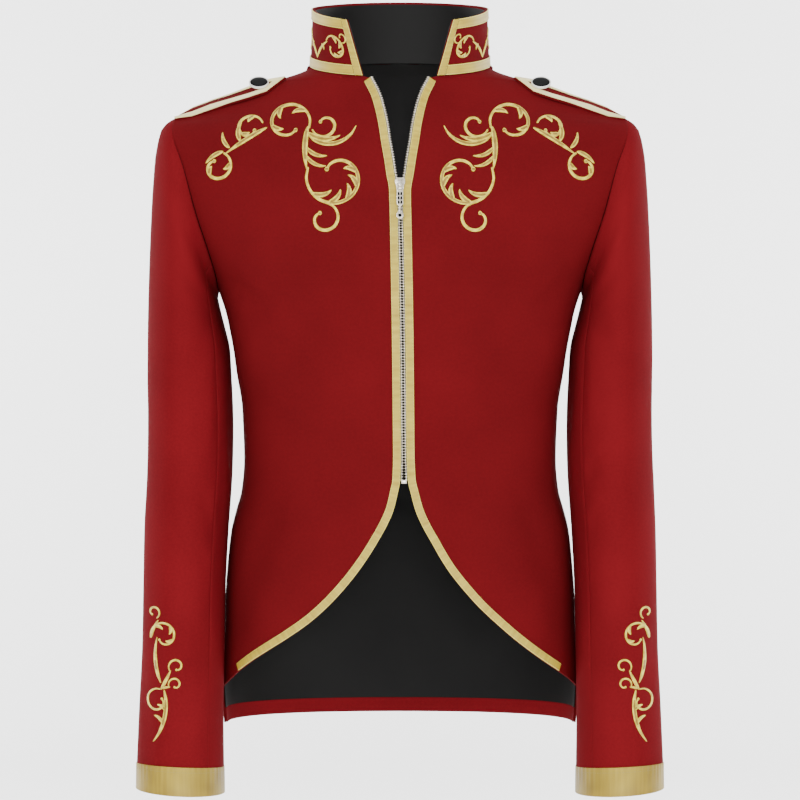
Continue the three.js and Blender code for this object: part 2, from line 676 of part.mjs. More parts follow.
const sliderFace = -SLIDER.front - SLIDER.plate;
const barY = sliderFace - BRIDGE.barOff;
const crownY = barY - BRIDGE.clear / 2;
const post = box(-SLIDER.postHalfWidth, SLIDER.postHalfWidth, -SLIDER.front - JOIN,
  SLIDER.back + JOIN, SLIDER.halfHeight - SLIDER.postHeight, SLIDER.halfHeight);
const bridgeX = [-BRIDGE.halfWidth, BRIDGE.halfWidth];
const legY = [crownY, sliderFace + JOIN];
const [bridgeLow, bridgeHigh] = [BRIDGE.low - BRIDGE.leg, BRIDGE.high + BRIDGE.leg];
add('zip_slider', union([
  plate(sliderShape(), sliderFace, -SLIDER.front),
  plate(sliderShape(), SLIDER.back, SLIDER.back + SLIDER.plate),
  post,
  box(...bridgeX, ...legY, bridgeLow, BRIDGE.low),
  box(...bridgeX, ...legY, BRIDGE.high, bridgeHigh),
  box(...bridgeX, crownY - BRIDGE.crown, crownY, bridgeLow, bridgeHigh),
]), 'metal', zipHead);

// The pull: a window for the bridge, an openwork link and a drop with an eye.
function pullShape() {
  const { halfWidth: w, length, linkRound, linkDip, dropRadius: r, neck } = PULL;
  const shape = new THREE.Shape();
  const top = PULL.barZ + PULL.thickness / 2;
  const linkZ = PULL.barZ - PULL.linkEnd;
  const dropZ = PULL.barZ - length + r;
  const dropTop = dropZ + PULL.dropTop;
  const dropWaist = dropZ + PULL.dropWaist;
  shape.moveTo(-w, top);
  shape.lineTo(-w, linkZ + linkRound);
  shape.quadraticCurveTo(-w, linkZ, -neck, linkZ - linkDip);
  shape.lineTo(-neck, dropTop);
  shape.quadraticCurveTo(-r, dropWaist, -r, dropZ);
  shape.absarc(0, dropZ, r, Math.PI, 2 * Math.PI, false);
  shape.quadraticCurveTo(r, dropWaist, neck, dropTop);
  shape.lineTo(neck, linkZ - linkDip);
  shape.quadraticCurveTo(w, linkZ, w, linkZ + linkRound);
  shape.lineTo(w, top);
  return shape;
}

function pullHoles() {
  const { halfWidth: w, thickness, barZ, length, linkEnd, dropRadius: r, windowEnd } = PULL;
  const { windowHalfWidth: v, rung, holeRows } = PULL;
  const [y0, y1] = [barY - thickness, barY + thickness];
  const holes = [box(-v, v, y0, y1, barZ - windowEnd, barZ - thickness / 2)];
  const pitch = (linkEnd - windowEnd - rung) / holeRows;
  for (let k = 0; k < holeRows; k += 1) {
    const z = barZ - windowEnd - rung - k * pitch;
    holes.push(box(-w + rung, -rung / 2, y0, y1, z - pitch + rung, z));
    holes.push(box(rung / 2, w - rung, y0, y1, z - pitch + rung, z));
  }
  const eye = new THREE.CylinderGeometry(r / 2, r / 2, y1 - y0, PULL.eyeSides);
  holes.push(eye.translate(0, barY, barZ - length + r));
  return holes;
}
add('zip_pull', cut(plate(pullShape(), barY - PULL.thickness / 2, barY + PULL.thickness / 2),
  pullHoles()), 'metal', zipHead);

// ---- Shoulder straps -------------------------------------------------------------------------------------

// The height of the faceted shoulder over a point, from the front's and the back's cells.
const TINY = { area: 1e-9, share: 1e-3 };
function heightOn(grids, x, y) {
  let height = -Infinity;
  const inTriangle = (a, b, c) => {
    const area = (b.x - a.x) * (c.y - a.y) - (c.x - a.x) * (b.y - a.y);
    if (Math.abs(area) < TINY.area) return;
    const u = ((x - a.x) * (c.y - a.y) - (c.x - a.x) * (y - a.y)) / area;
    const v = ((b.x - a.x) * (y - a.y) - (x - a.x) * (b.y - a.y)) / area;
    if (Math.min(u, v, 1 - u - v) < -TINY.share) return;
    height = Math.max(height, a.z + u * (b.z - a.z) + v * (c.z - a.z));
  };
  grids.forEach((grid) => {
    for (let i = 0; i < grid.length - 1; i += 1) {
      for (let j = 0; j < grid[0].length - 1; j += 1) {
        inTriangle(grid[i][j], grid[i][j + 1], grid[i + 1][j + 1]);
        inTriangle(grid[i][j], grid[i + 1][j + 1], grid[i + 1][j]);
      }
    }
  });
  return height;
}

const strapEnd = STRAP.length - STRAP.point;
const strapScale = (station) => (station <= strapEnd ? 1
  : Math.max((STRAP.length - station) / STRAP.point, STRAP.tipShare));

for (const { name, sign } of SIDES) {
  const { placed, grid } = fronts[name];
  const shoulder = [grid.slice(ARMHOLE_FIRST_FRONT + ARMHOLE_CELLS / 2),
    back.slice(ARMHOLE_FIRST_BACK + ARMHOLE_CELLS / 2)];
  const onShoulder = (station, across) => {
    const x = STRAP.outerX - station / Math.hypot(1, STRAP.fall);
    const y = along(STRAP_MIDDLE, station, 'y') + across * STRAP.across;
    const offSeam = Math.abs(y) < STRAP.seamClear ? STRAP.seamClear : y;
    return new THREE.Vector3(x, y, heightOn(shoulder, x, offSeam));
  };
  const blunt = STRAP.length - STRAP.blunt;
  const stations = [...STRAP_STATIONS, strapEnd, (strapEnd + STRAP.length) / 2, blunt];
  const strap = stations.map((station) => STRAP_LANES.map((lane) => onShoulder(station,
    lane * STRAP.halfWidth * strapScale(station))));
  const below = (rows) => (i) => rows[i][0].clone().setZ(rows[i][0].z - STRAP_CORE_DROP);
  const up = normalsOf(strap, below(strap));
  const { lay, thickness } = STRAP;
  add(`strap_${name}`, wall(placed(moved(strap, up, lay + thickness)),
    placed(moved(strap, up, lay))), 'red');

  // The ribbon goes up the front side, round the point and down the back side.
  const slant = STRAP.trim / Math.sin(Math.atan(STRAP.halfWidth / STRAP.point));
  const innerTip = STRAP.length - slant;
  const innerHalf = STRAP.halfWidth - STRAP.trim;
  const innerEnd = innerTip - innerHalf * STRAP.point / STRAP.halfWidth;
  const innerLane = innerHalf / STRAP.halfWidth;
  const straight = STRAP_STATIONS.map((station) => [[station, 1], [station, innerLane]]);
  const half = [...straight, [[strapEnd, 1], [innerEnd, innerLane]]];
  const flip = (pair) => pair.map(([station, lane]) => [station, -lane]);
  const loop = [...half.map(flip), [[blunt, 0], [innerTip, 0]], ...half.reverse()];
  const pairs = loop.map((pair) => [pair[0], [(pair[0][0] + pair[1][0]) / 2,
    (pair[0][1] + pair[1][1]) / 2], pair[1]]);
  const ribbon = pairs.map((pair) => pair.map(([station, lane]) => onShoulder(station,
    lane * STRAP.halfWidth)));
  const upwards = normalsOf(ribbon, below(ribbon))
    .map((row) => row.map((n) => (n.z < 0 ? n.negate() : n)));
  const lowest = lay + thickness + LAY;
  add(`strap_trim_${name}`, wall(placed(moved(ribbon, upwards, lowest + RIBBON)),
    placed(moved(ribbon, upwards, lowest))), 'cream');

  const seat = onShoulder(BUTTON.station, 0);
  const profile = BUTTON_PROFILE.map(({ radius, rims, height }) => new THREE.Vector2(
    radius * BUTTON.radius - rims * BUTTON.rim, height * BUTTON.thickness));
  const button = new THREE.LatheGeometry(profile, BUTTON.sides);
  const mesh = add(`button_${name}`, button, 'black');
  mesh.position.set(sign * seat.x, seat.y, seat.z).addScaledVector(
    new THREE.Vector3(0, -Math.sin(BUTTON.tilt * degrees), Math.cos(BUTTON.tilt * degrees)),
    lowest + RIBBON + BUTTON.lift);
  mesh.rotation.x = (90 + BUTTON.tilt) * degrees;
}

// ---- Collar ----------------------------------------------------------------------------------------------------

const UPS = [0, 0.5, 1];
const collar = collarGrid(UPS);
const collarOut = normalsOf(collar, collarCore(collar));
// Its layers end aslant at the base, over the edge of the body that leans in under them.
const collarLayer = (near, thickness) => {
  const [outer, inner] = [near + thickness, near].map((offset) => {
    const grid = moved(collar, collarOut, offset);
    grid[0].forEach((p) => p.setZ(p.z - offset * COLLAR.baseSlant));
    return grid;
  });
  return wall(outer, inner);
};
add('collar', collarLayer(-CLOTH, CLOTH), 'red');
add('collar_lining', collarLayer(-CLOTH - GAP - LINING, LINING), 'lining');

// Ribbons: bands along the base and the rim, and one down each front end.
const endTurn = COLLAR.end - endBandTurn(COLLAR.endBand);
const bandSteps = [...COLLAR_STEPS.filter((turn) => turn < endTurn - endBandTurn(TRIM.width / 2)),
  endTurn - endBandTurn(GAP)];
function collarRibbon(name, ups, steps) {
  const grid = ups.map((up) => steps.map((turn) => collarPoint(turn, up, COLLAR.lift)));
  add(name, layer(grid, normalsOf(grid, collarCore(grid)), LAY, RIBBON), 'gold');
}
collarRibbon('collar_trim_base', [0, COLLAR.bandHeight], allSteps(bandSteps));
collarRibbon('collar_trim_rim', [1 - COLLAR.bandHeight, 1], allSteps(bandSteps));
const endSteps = [endTurn, (endTurn + COLLAR.end) / 2, COLLAR.end];
collarRibbon('collar_trim_end_left', UPS, endSteps);
collarRibbon('collar_trim_end_right', UPS, endSteps.map((turn) => -turn).reverse());

export default coat;
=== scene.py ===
# %% [markdown]
# # A stand-collar coat
# This lesson dresses a plain model of a coat. The imported model gives every piece its size and
# place. Each panel is drawn again from the coat's own measures, more finely, and gets its
# cloth, its ribbons and its needlework. The creases and the scrolls are laid one by one.
# Sizes are written in millimetres, as a tailor would, and turned into metres at the end.

# %% Load the imported coat
import math

import bmesh
import bpy
import numpy as np
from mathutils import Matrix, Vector
from mathutils.bvhtree import BVHTree


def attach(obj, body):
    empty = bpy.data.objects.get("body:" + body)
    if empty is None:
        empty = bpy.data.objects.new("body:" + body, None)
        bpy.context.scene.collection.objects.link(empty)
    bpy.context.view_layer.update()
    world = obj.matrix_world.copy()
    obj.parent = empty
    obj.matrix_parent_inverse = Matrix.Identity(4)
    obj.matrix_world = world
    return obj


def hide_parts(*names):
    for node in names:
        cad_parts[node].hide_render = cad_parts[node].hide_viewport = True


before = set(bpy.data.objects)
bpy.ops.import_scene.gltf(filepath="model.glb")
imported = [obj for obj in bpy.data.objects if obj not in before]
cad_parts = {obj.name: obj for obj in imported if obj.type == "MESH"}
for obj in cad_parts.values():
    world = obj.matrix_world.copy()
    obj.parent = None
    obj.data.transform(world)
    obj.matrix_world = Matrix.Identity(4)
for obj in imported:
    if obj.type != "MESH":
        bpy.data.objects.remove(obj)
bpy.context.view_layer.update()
MM = 0.001

# %% [markdown]
# ## Camera, floor and light
# The coat is seen square from the front, from a few metres away, so its lines hardly converge.
# A long lens does that. The floor bends up into a pale backdrop, as in a studio, and large
# soft lamps keep the shadows gentle, which suits cloth with a short nap.

# %% Camera
CAMERA = {"distance": 2800, "height": -314, "width_seen": 752}
lens = bpy.data.cameras.new("camera")
lens.sensor_fit = "HORIZONTAL"
lens.angle = 2 * math.atan(CAMERA["width_seen"] / 2 / CAMERA["distance"])
lens.clip_end = 100
camera = bpy.data.objects.new("camera", lens)
camera.location = (0, -CAMERA["distance"] * MM, CAMERA["height"] * MM)
camera.rotation_euler = (math.radians(90), 0, 0)
bpy.context.collection.objects.link(camera)
bpy.context.scene.camera = camera
print("lens:", round(math.degrees(lens.angle), 2), "degrees")

# %% A way to build materials
def add_node(tree, kind, inputs=None, **settings):
    """Makes a node and returns it; an input that is a socket is joined, any other is set."""
    node = tree.nodes.new(kind)
    for key, value in settings.items():
        setattr(node, key, value)
    for key, value in (inputs or {}).items():
        if isinstance(value, bpy.types.NodeSocket):
            tree.links.new(value, node.inputs[key])
        else:
            node.inputs[key].default_value = value
    return node


class Finish:
    """A material in the making: `add` makes a node and `done` closes it with a shader."""

    def __init__(self, name):
        self.material = bpy.data.materials.new(name)
        self.material.use_nodes = True
        self.tree = self.material.node_tree
        self.tree.nodes.clear()

    def add(self, kind, inputs=None, **settings):
        return add_node(self.tree, "ShaderNode" + kind, inputs, **settings)

    def done(self, shader, inputs):
        surface = self.add(shader, inputs).outputs["BSDF"]
        self.add("OutputMaterial", {"Surface": surface})
        return self.material


# %% Floor and backdrop
FLOOR = {"z": -1000, "front": -4200, "back": 3700, "bend": 900, "half_width": 4600, "top": 3600}


def backdrop_profile(steps=16):
    """The floor's side view, from its front edge round the bend and up the wall."""
    bend, back, floor = FLOOR["bend"], FLOOR["back"], FLOOR["z"]
    turns = [math.pi / 2 * k / steps for k in range(steps + 1)]
    curve = [(back - bend + bend * math.sin(t), floor + bend - bend * math.cos(t)) for t in turns]
    return [(FLOOR["front"], floor), *curve, (back, FLOOR["top"])]


def make_backdrop():
    profile = backdrop_profile()
    sides = (-FLOOR["half_width"], FLOOR["half_width"])
    points = [(x * MM, y * MM, z * MM) for x in sides for y, z in profile]
    count = len(profile)
    faces = [(k, count + k, count + k + 1, k + 1) for k in range(count - 1)]
    mesh = bpy.data.meshes.new("backdrop")
    mesh.from_pydata(points, [], faces)
    mesh.shade_smooth()
    paper = Finish("pale_paper")
    grain = paper.add("TexNoise", {"Scale": 3.0, "Detail": 2.0})
    tone = paper.add("MapRange", {"Value": grain.outputs["Fac"], "To Min": 0.90, "To Max": 0.92})
    mesh.materials.append(paper.done("BsdfDiffuse", {"Color": tone.outputs["Result"]}))
    stage = bpy.data.objects.new("backdrop", mesh)
    bpy.context.collection.objects.link(stage)


make_backdrop()

# %% Lamps
LAMPS = [
    # name, place, size, watts
    ("key", (-1500, -2600, 900), 1800, 50),
    ("fill", (1900, -2500, 200), 2000, 40),
    ("front", (120, -3300, -120), 700, 46),
    ("top", (0, -300, 1900), 1600, 18),
    ("rim", (0, 1700, 700), 1500, 12),
]
WALL_LAMPS = [
    ("wall_right", (-2500, 1500, 500), 1500, 190),
    ("wall_left", (2500, 1500, 500), 1500, 190),
]


def add_lamp(name, place, size, watts, target=(0, 0, -300)):
    light = bpy.data.lights.new(name, "AREA")
    light.size = size * MM
    light.energy = watts
    lamp = bpy.data.objects.new(name, light)
    lamp.location = [v * MM for v in place]
    way = Vector(target) - Vector(place)
    lamp.rotation_euler = way.to_track_quat("-Z", "Y").to_euler()
    lamp.visible_camera = False
    bpy.context.collection.objects.link(lamp)


for lamp in LAMPS:
    add_lamp(*lamp)
# A small lamp in the throat keeps the lining behind it from going black.
add_lamp("throat", (0, -60, -50), 110, 0.22, target=(0, 90, -80))
for lamp in WALL_LAMPS:
    add_lamp(*lamp, target=(0, FLOOR["back"], -300))

world = bpy.data.worlds.new("studio")
world.use_nodes = True
world.node_tree.nodes["Background"].inputs["Color"].default_value = (1, 1, 1, 1)
world.node_tree.nodes["Background"].inputs["Strength"].default_value = 0.75
bpy.context.scene.world = world
print(len(LAMPS), "lamps")

# %% [markdown]
# ## The coat's measures
# A tailor's measures are a few widths and depths at named heights. Here they are short tables:
# one row for each height, one column for each measure, and a smooth curve goes through each
# column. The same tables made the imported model, so every shell below lies on its own solid.

# %% Tables and smooth curves through them
def table(columns, rows):
    """Rows of numbers as dictionaries, so that a column is read by its name."""
    return [dict(zip(columns.split(), row)) for row in rows]


def along(rows, z, column):
    """A smooth curve through one column, without overshoot between the rows."""
    at = min(max(z, rows[0]["z"]), rows[-1]["z"])
    i = 0
    while i < len(rows) - 2 and at > rows[i + 1]["z"]:
        i += 1

    def rise(k):
        return (rows[k + 1][column] - rows[k][column]) / (rows[k + 1]["z"] - rows[k]["z"])

    def slope(k):
        if k == 0:
            return rise(0)
        if k == len(rows) - 1:
            return rise(k - 1)
        before, after = rise(k - 1), rise(k)
        return 0 if before * after <= 0 else 2 * before * after / (before + after)

    step = rows[i + 1]["z"] - rows[i]["z"]
    u = (at - rows[i]["z"]) / step
    low, high = rows[i][column], rows[i + 1][column]
    return (low * (1 + 2 * u) * (1 - u) ** 2 + high * u * u * (3 - 2 * u)
            + step * (slope(i) * u * (1 - u) ** 2 - slope(i + 1) * u * u * (1 - u)))


# %% Walls, heights and the armhole
CLOTH = 2.0
CLOTH_DRAWN = 1.5       # a panel's drawn wall, which stays inside its solid
GAP = 0.3
HEM_Z, FACING_TOP_Z = -617, -603.5
ARMPIT_Z, SHOULDER_Z = -212, -50
ARMHOLE_REACH = {"front": 55, "back": 58}
NECK = {"half_width": 84, "front": 70, "back": 70, "front_drop": 18, "back_rise": 15}
NECK_FIRST_TURN = 24

BODY = table("z side front front_round back back_round", [
    (-622, 165.0, 114, 2.3, 104, 2.3),
    (-581, 168.0, 114, 2.3, 104, 2.3),
    (-530, 165.5, 113, 2.3, 101, 2.3),
    (-480, 162.5, 110, 2.3, 97, 2.3),
    (-436, 158.0, 107, 2.3, 91, 2.3),
    (-417, 153.5, 106, 2.3, 88, 2.3),
    (-398, 148.5, 105.5, 2.3, 86, 2.3),
    (-370, 146.2, 106, 2.3, 85, 2.3),
    (-323, 148.0, 111, 2.3, 88, 2.3),
    (-286, 153.5, 117, 2.3, 93, 2.3),
    (-262, 156.5, 121, 2.3, 97, 2.3),
    (-235, 161.3, 124, 2.3, 101, 2.3),
    (-212, 170.0, 125, 2.3, 104, 2.3),
    (-181, 183.0, 124, 2.28, 107, 2.28),
    (-143, 205.0, 119, 2.15, 108, 2.15),
    (-98, 214.0, 108, 1.8, 106, 1.85),
    (-50, 211.0, 90, 1.25, 98, 1.4),
    (-32, 165.0, 84, 1.2, 93, 1.4),
    (-18, 129.6, 78, 1.2, 88, 1.5),
    (0, 84.0, 70, 1.2, 80, 1.9),
    (15, 84.0, 70, 1.2, 70.6, 2.0),
])
ARMHOLE = table("z x", [
    (-212, 170), (-203, 170.7), (-181, 176), (-143, 188), (-98, 200.5), (-64, 212), (-50, 213),
])
print(len(BODY), "heights measured on the body")

# %% The front edges: a slight lean of the zip, the open throat and the cut-away
FRONT_EDGE = table("z middle gap", [
    (-580, 0, 165.0),
    (-572, 0, 157.5),
    (-564.5, -1, 149.0),
    (-553, -2, 134.0),
    (-545, -1.6, 122.8),
    (-530, 0.4, 102.0),
    (-515, 2.3, 83.2),
    (-500.5, 2.8, 67.6),
    (-486, 3.1, 54.4),
    (-471.5, 3.2, 42.7),
    (-457, 3.6, 32.8),
    (-442.5, 4.0, 24.2),
    (-428, 4.0, 16.1),
    (-413.5, 4.0, 9.8),
    (-399, 3.8, 6.1),
    (-386, 3.6, 3.4),
    (-362, 3.4, 2.6),
    (-250, 2.3, 2.6),
    (-140, 0.3, 2.6),
    (-124, 0, 2.8),
    (-110, 0, 5.2),
    (-95, 0, 7.4),
    (-80, 0, 10.0),
    (-65, 0, 12.2),
    (-50, 0, 15.2),
    (-35, 0, 19.4),
    (-18.6, 0, 27.0),
    (-16, 0, 28.0),
])
SIDES = {"right": -1, "left": 1}     # the wearer's own sides; right is at -X

# %% Rings of the sleeves and cuffs
RING = "inner_x inner_z outer_x outer_z middle depth"
SLEEVE = table(RING, [
    (171.2, -218, 222.5, -58, -1, 58),
    (170.3, -223, 228.3, -78, -1, 60),
    (168.8, -229, 231.3, -108, -2, 61.5),
    (166.8, -237, 233.5, -146, -2, 62),
    (163.8, -248, 235.2, -192, -3, 62),
    (160.0, -264, 236.3, -238, -4, 61.5),
    (158.0, -292, 236.6, -286, -6, 60.5),
    (156.2, -330, 236.4, -330, -9, 59),
    (156.4, -380, 236.6, -380, -17, 57.5),
    (159.8, -436, 238.0, -436, -25, 56),
    (162.0, -492, 238.1, -490, -35, 54.5),
    (162.4, -547, 238.4, -544, -44, 53),
    (162.9, -600, 240.4, -596, -51, 52),
    (162.2, -651, 242.3, -647, -55, 51),
])
CUFF = table(RING, [
    (161.9, -651.5, 242.7, -647.5, -55, 51.3),
    (161.5, -663, 243.0, -658.5, -55.5, 51.9),
    (161.3, -675, 243.2, -670, -56, 52.2),
])
SLEEVE_SEAMS = (45, 315)             # degrees round the sleeve from its inner line
print(len(SLEEVE), "rings measured on a sleeve")


# %% The body's surface at one height
def powered(value, power):
    return np.sign(value) * np.abs(value) ** power


def neck_front_z(turn):
    return -NECK["front_drop"] * math.cos(math.radians(turn))


def neck_back_z(turn):
    return NECK["back_rise"] * math.cos(math.radians(turn))


def armhole_angle(z):
    """The angle round the armhole, 0 at the armpit and a half turn at the shoulder."""
    share = (z - ARMPIT_Z) / (SHOULDER_Z - ARMPIT_Z)
    return math.acos(min(max(1 - 2 * share, -1), 1))


def armhole_depth(z, half):
    return ARMHOLE_REACH[half] * math.sin(armhole_angle(z))


def section(z, half):
    """Half width, depth and roundness of the front or back at one height."""
    n = along(BODY, z, half + "_round")
    b = along(BODY, z, half)
    a = along(BODY, z, "side")
    if ARMPIT_Z < z < SHOULDER_Z:
        share = armhole_depth(z, half) / b
        a = along(ARMHOLE, z, "x") / (1 - share ** n) ** (1 / n)
    elif z > 0:
        turn = math.acos(min(z / NECK["back_rise"], 1))
        share = NECK["back"] * math.cos(turn) / b
        a = NECK["half_width"] * math.sin(turn) / (1 - share ** n) ** (1 / n)
    elif half == "front" and z > neck_front_z(NECK_FIRST_TURN) - 0.1:
        turn = math.acos(min(-z / NECK["front_drop"], 1))
        share = NECK["half_width"] * math.sin(turn) / a
        b = NECK["front"] * math.cos(turn) / (1 - share ** n) ** (1 / n)
    return a, b, n


def row_span(z, half, start_x):
    """Where a row begins and ends, as turns round its section."""
    a, b, n = section(z, half)
    start = math.asin(float(powered(start_x / a, n / 2)))
    end = math.pi / 2
    if ARMPIT_Z < z < SHOULDER_Z:
        end = math.acos((armhole_depth(z, half) / b) ** (n / 2))
    elif z > 0:
        end = math.acos((NECK["back"] * z / NECK["back_rise"] / b) ** (n / 2))
    return start, end


print("chest, halfway round:", round(section(-235, "front")[0] * 2), "mm wide")

# %% [markdown]
# ## Panels as fine grids
# A sewn edge is never flat: where two panels meet, each one rolls in towards the seam. To
# show that, the grid gets close columns next to each seam and wide ones between. A crease is a
# soft trough along a line; its depth fades out at both ends.

# %% Close columns beside a seam
BESIDE_SEAM = (0, 0.4, 1.0, 2.0, 3.6, 6.0)
ROLL = {"depth": 0.5, "width": 2.2}


def stations(total, cells, start=BESIDE_SEAM, end=BESIDE_SEAM):
    """Distances across a panel, close together beside its edges."""
    fixed = start[-1] + end[-1]
    squeeze = min(1, total / (fixed * 1.25)) if fixed else 1
    first = [d * squeeze for d in start]
    last = [total - d * squeeze for d in reversed(end)]
    between = np.linspace(first[-1], last[0], cells + 1)[1:-1]
    return np.array([*first, *between, *last])


def rolled(distance):
    """How far a sewn edge rolls in, by the distance from the seam."""
    return ROLL["depth"] * (1 - np.clip(distance / ROLL["width"], 0, 1)) ** 2


# %% One row of a front or the back
SIGN = {"front": -1, "back": 1}
FINE = 260


def body_row(z, half, start_x, places):
    """Points across one height and their distances; `places` picks distances from a length."""
    a, b, n = section(z, half)
    start, end = row_span(z, half, start_x)
    turns = np.linspace(start, end, FINE)
    x = a * powered(np.sin(turns), 2 / n)
    y = SIGN[half] * b * np.abs(np.cos(turns)) ** (2 / n)
    if end == math.pi / 2:
        y[-1] = SIGN[half] * GAP / 2
    length = np.concatenate([[0], np.cumsum(np.hypot(np.diff(x), np.diff(y)))])
    at = places(length[-1])
    return np.column_stack([np.interp(at, length, x), np.interp(at, length, y),
                            np.full(len(at), float(z))]), at


def spread(*heights_and_steps):
    """Heights from the first value on; each pair is the next height and the steps to it."""
    rows = [float(heights_and_steps[0])]
    for height, steps in heights_and_steps[1:]:
        rows += list(np.linspace(rows[-1], height, steps + 1)[1:])
    return rows


def armhole_heights(steps):
    half = (SHOULDER_Z - ARMPIT_Z) / 2
    return [ARMPIT_Z + half * (1 - math.cos(math.pi * k / steps)) for k in range(1, steps)]


# %% Distances and normals of a grid
def distances(grid):
    """Distances along the rows and along the columns, each from the grid's first edge."""
    across = np.linalg.norm(np.diff(grid, axis=1), axis=2)
    upward = np.linalg.norm(np.diff(grid, axis=0), axis=2)
    rows, columns = grid.shape[:2]
    u = np.hstack([np.zeros((rows, 1)), np.cumsum(across, axis=1)])
    v = np.vstack([np.zeros((1, columns)), np.cumsum(upward, axis=0)])
    return u, v


def grid_normals(grid, outwards):
    """Normals of a grid; `outwards` is a direction on the outer side at the grid's middle."""
    across = np.gradient(grid, axis=1)
    upward = np.gradient(grid, axis=0)
    normals = np.cross(across, upward)
    normals /= np.linalg.norm(normals, axis=2, keepdims=True)
    middle = normals[grid.shape[0] // 2, grid.shape[1] // 2]
    return normals if middle @ np.array(outwards) > 0 else -normals


CALM_BESIDE_SEAM = 13


def creased(points, creases, seam=None):
    """The depth of all creases at points (across, height); each is a fading trough.

    They also fade towards a seam, given by its distance, so that two panels meet there."""
    depth = np.zeros(points.shape[:-1])
    for crease in creases:
        start = np.array([crease["x0"], crease["z0"]])
        way = np.array([crease["x1"], crease["z1"]]) - start
        share = np.clip(((points - start) @ way) / (way @ way), 0, 1)
        bow = crease.get("bow", 0) * np.sin(math.pi * share)[..., None]
        side = np.array([-way[1], way[0]]) / np.linalg.norm(way)
        away = np.linalg.norm(points - start - share[..., None] * way - bow * side, axis=-1)
        fade = np.sin(math.pi * np.clip(share, 0, 1)) ** 0.8
        depth += crease["depth"] * fade * np.exp(-(away / crease["width"]) ** 2)
    if seam is not None:
        share = np.clip(seam / CALM_BESIDE_SEAM, 0, 1)
        depth *= share * share * (3 - 2 * share)
    return depth


LEDGE = {"reach": 14, "blur": 6, "seam": 12}


def without_ledge(grid, half, seam):
    """Evens out the cloth beside the armhole's top, where its section changes its rule."""
    evened = grid.copy()
    for i, z in enumerate(grid[:, 0, 2]):
        near = 1 - abs(z - SHOULDER_Z) / LEDGE["reach"]
        if near <= 0:
            continue
        depths = []
        for part in np.linspace(-1, 1, 9):
            a, b, n = section(z + part * near * LEDGE["blur"], half)
            depths.append(b * (1 - np.minimum(np.abs(grid[i, :, 0]) / a, 1) ** n) ** (1 / n))
        share = np.clip(seam[i] / LEDGE["seam"], 0, 1)
        evened[i, :, 1] += (SIGN[half] * np.mean(depths, axis=0) - grid[i, :, 1]) * share
    return evened


# %% [markdown]
# ## From a grid to a wall of cloth
# Cloth has two faces and an edge. The wall below joins an outer and an inner grid, gives the
# outer face, the inner face and the edge their own finishes, and lays a flat pattern (the UV
# map) in true metres on it, so that a weave keeps its scale on every piece.

# %% Build one piece
PIECES = {}


def keep_piece(name, mesh, body="coat", nodes=()):
    """Puts a finished mesh in the scene, on its body and in place of its plain solids."""
    piece = bpy.data.objects.new(name, mesh)
    bpy.context.collection.objects.link(piece)
    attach(piece, body)
    if nodes:
        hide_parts(*nodes)
    PIECES[name] = piece
    return piece


def wall(outer, inner, flat, closed=False):
    """A closed wall between two grids, as points, faces, flat places and kinds of face.

    The kinds are 0 for the outer face, 1 for the inner face and 2 for the edge."""
    rows, columns = outer.shape[:2]
    cells = columns if closed else columns - 1
    faces, corners, kinds = [], [], []

    def face(loop, kind):
        faces.append([layer * rows * columns + i * columns + j % columns for i, j, layer in loop])
        corners.append([flat[i][j] for i, j, _ in loop])
        kinds.append(kind)

    for i in range(rows - 1):
        for j in range(cells):
            loop = [(i, j), (i, j + 1), (i + 1, j + 1), (i + 1, j)]
            face([(*p, 0) for p in loop], 0)
            face([(*p, 1) for p in reversed(loop)], 1)
        if not closed:
            face([(i, 0, 0), (i + 1, 0, 0), (i + 1, 0, 1), (i, 0, 1)], 2)
            face([(i, cells, 0), (i, cells, 1), (i + 1, cells, 1), (i + 1, cells, 0)], 2)
    last = rows - 1
    for j in range(cells):
        face([(0, j, 0), (0, j, 1), (0, j + 1, 1), (0, j + 1, 0)], 2)
        face([(last, j, 0), (last, j + 1, 0), (last, j + 1, 1), (last, j, 1)], 2)
    points = np.concatenate([outer.reshape(-1, 3), inner.reshape(-1, 3)])
    a, b, c, d = (points[np.array(faces)[:, k]] for k in range(4))
    if (a * (np.cross(b, c) + np.cross(c, d))).sum() < 0:
        faces = [loop[::-1] for loop in faces]
        corners = [loop[::-1] for loop in corners]
    return points, faces, corners, kinds


def outer_face(i, j, cells):
    """The number of a wall's outer face in row i and column j, when its rows are open."""
    return i * (2 * cells + 2) + 2 * j


def sewn_mesh(name, walls, finishes, sharp=50):
    """One mesh of several walls, in metres, with its flat pattern and its finishes."""
    points, faces, corners, kinds = [], [], [], []
    count = 0
    for wall_points, wall_faces, wall_corners, wall_kinds in walls:
        points.append(wall_points)
        faces += [[count + k for k in loop] for loop in wall_faces]
        corners += wall_corners
        kinds += wall_kinds
        count += len(wall_points)
    mesh = bpy.data.meshes.new(name)
    mesh.from_pydata((np.concatenate(points) * MM).tolist(), [], faces)
    layout = mesh.uv_layers.new(name="cloth")
    layout.data.foreach_set("uv", (np.array(corners) * MM).ravel())
    for finish in finishes:
        mesh.materials.append(finish)
    mesh.polygons.foreach_set("material_index", kinds)
    mesh.shade_smooth()
    mesh.set_sharp_from_angle(angle=math.radians(sharp))
    return mesh


# %% Cloth as it lies flat
def flat_of(grid, across=None, closed=False):
    """Each point's place on the flat cloth: its distance across, and its height."""
    u, v = distances(grid)
    if across is not None:
        u = u + across[:, None]
    v = np.repeat(v[:, grid.shape[1] // 2][:, None], grid.shape[1], axis=1)
    flat = np.stack([u, v], axis=-1)
    if closed:
        wrap = u[:, -1] + np.linalg.norm(grid[:, -1] - grid[:, 0], axis=1)
        flat = np.concatenate([flat, np.stack([wrap, v[:, 0]], axis=-1)[:, None]], axis=1)
    return flat


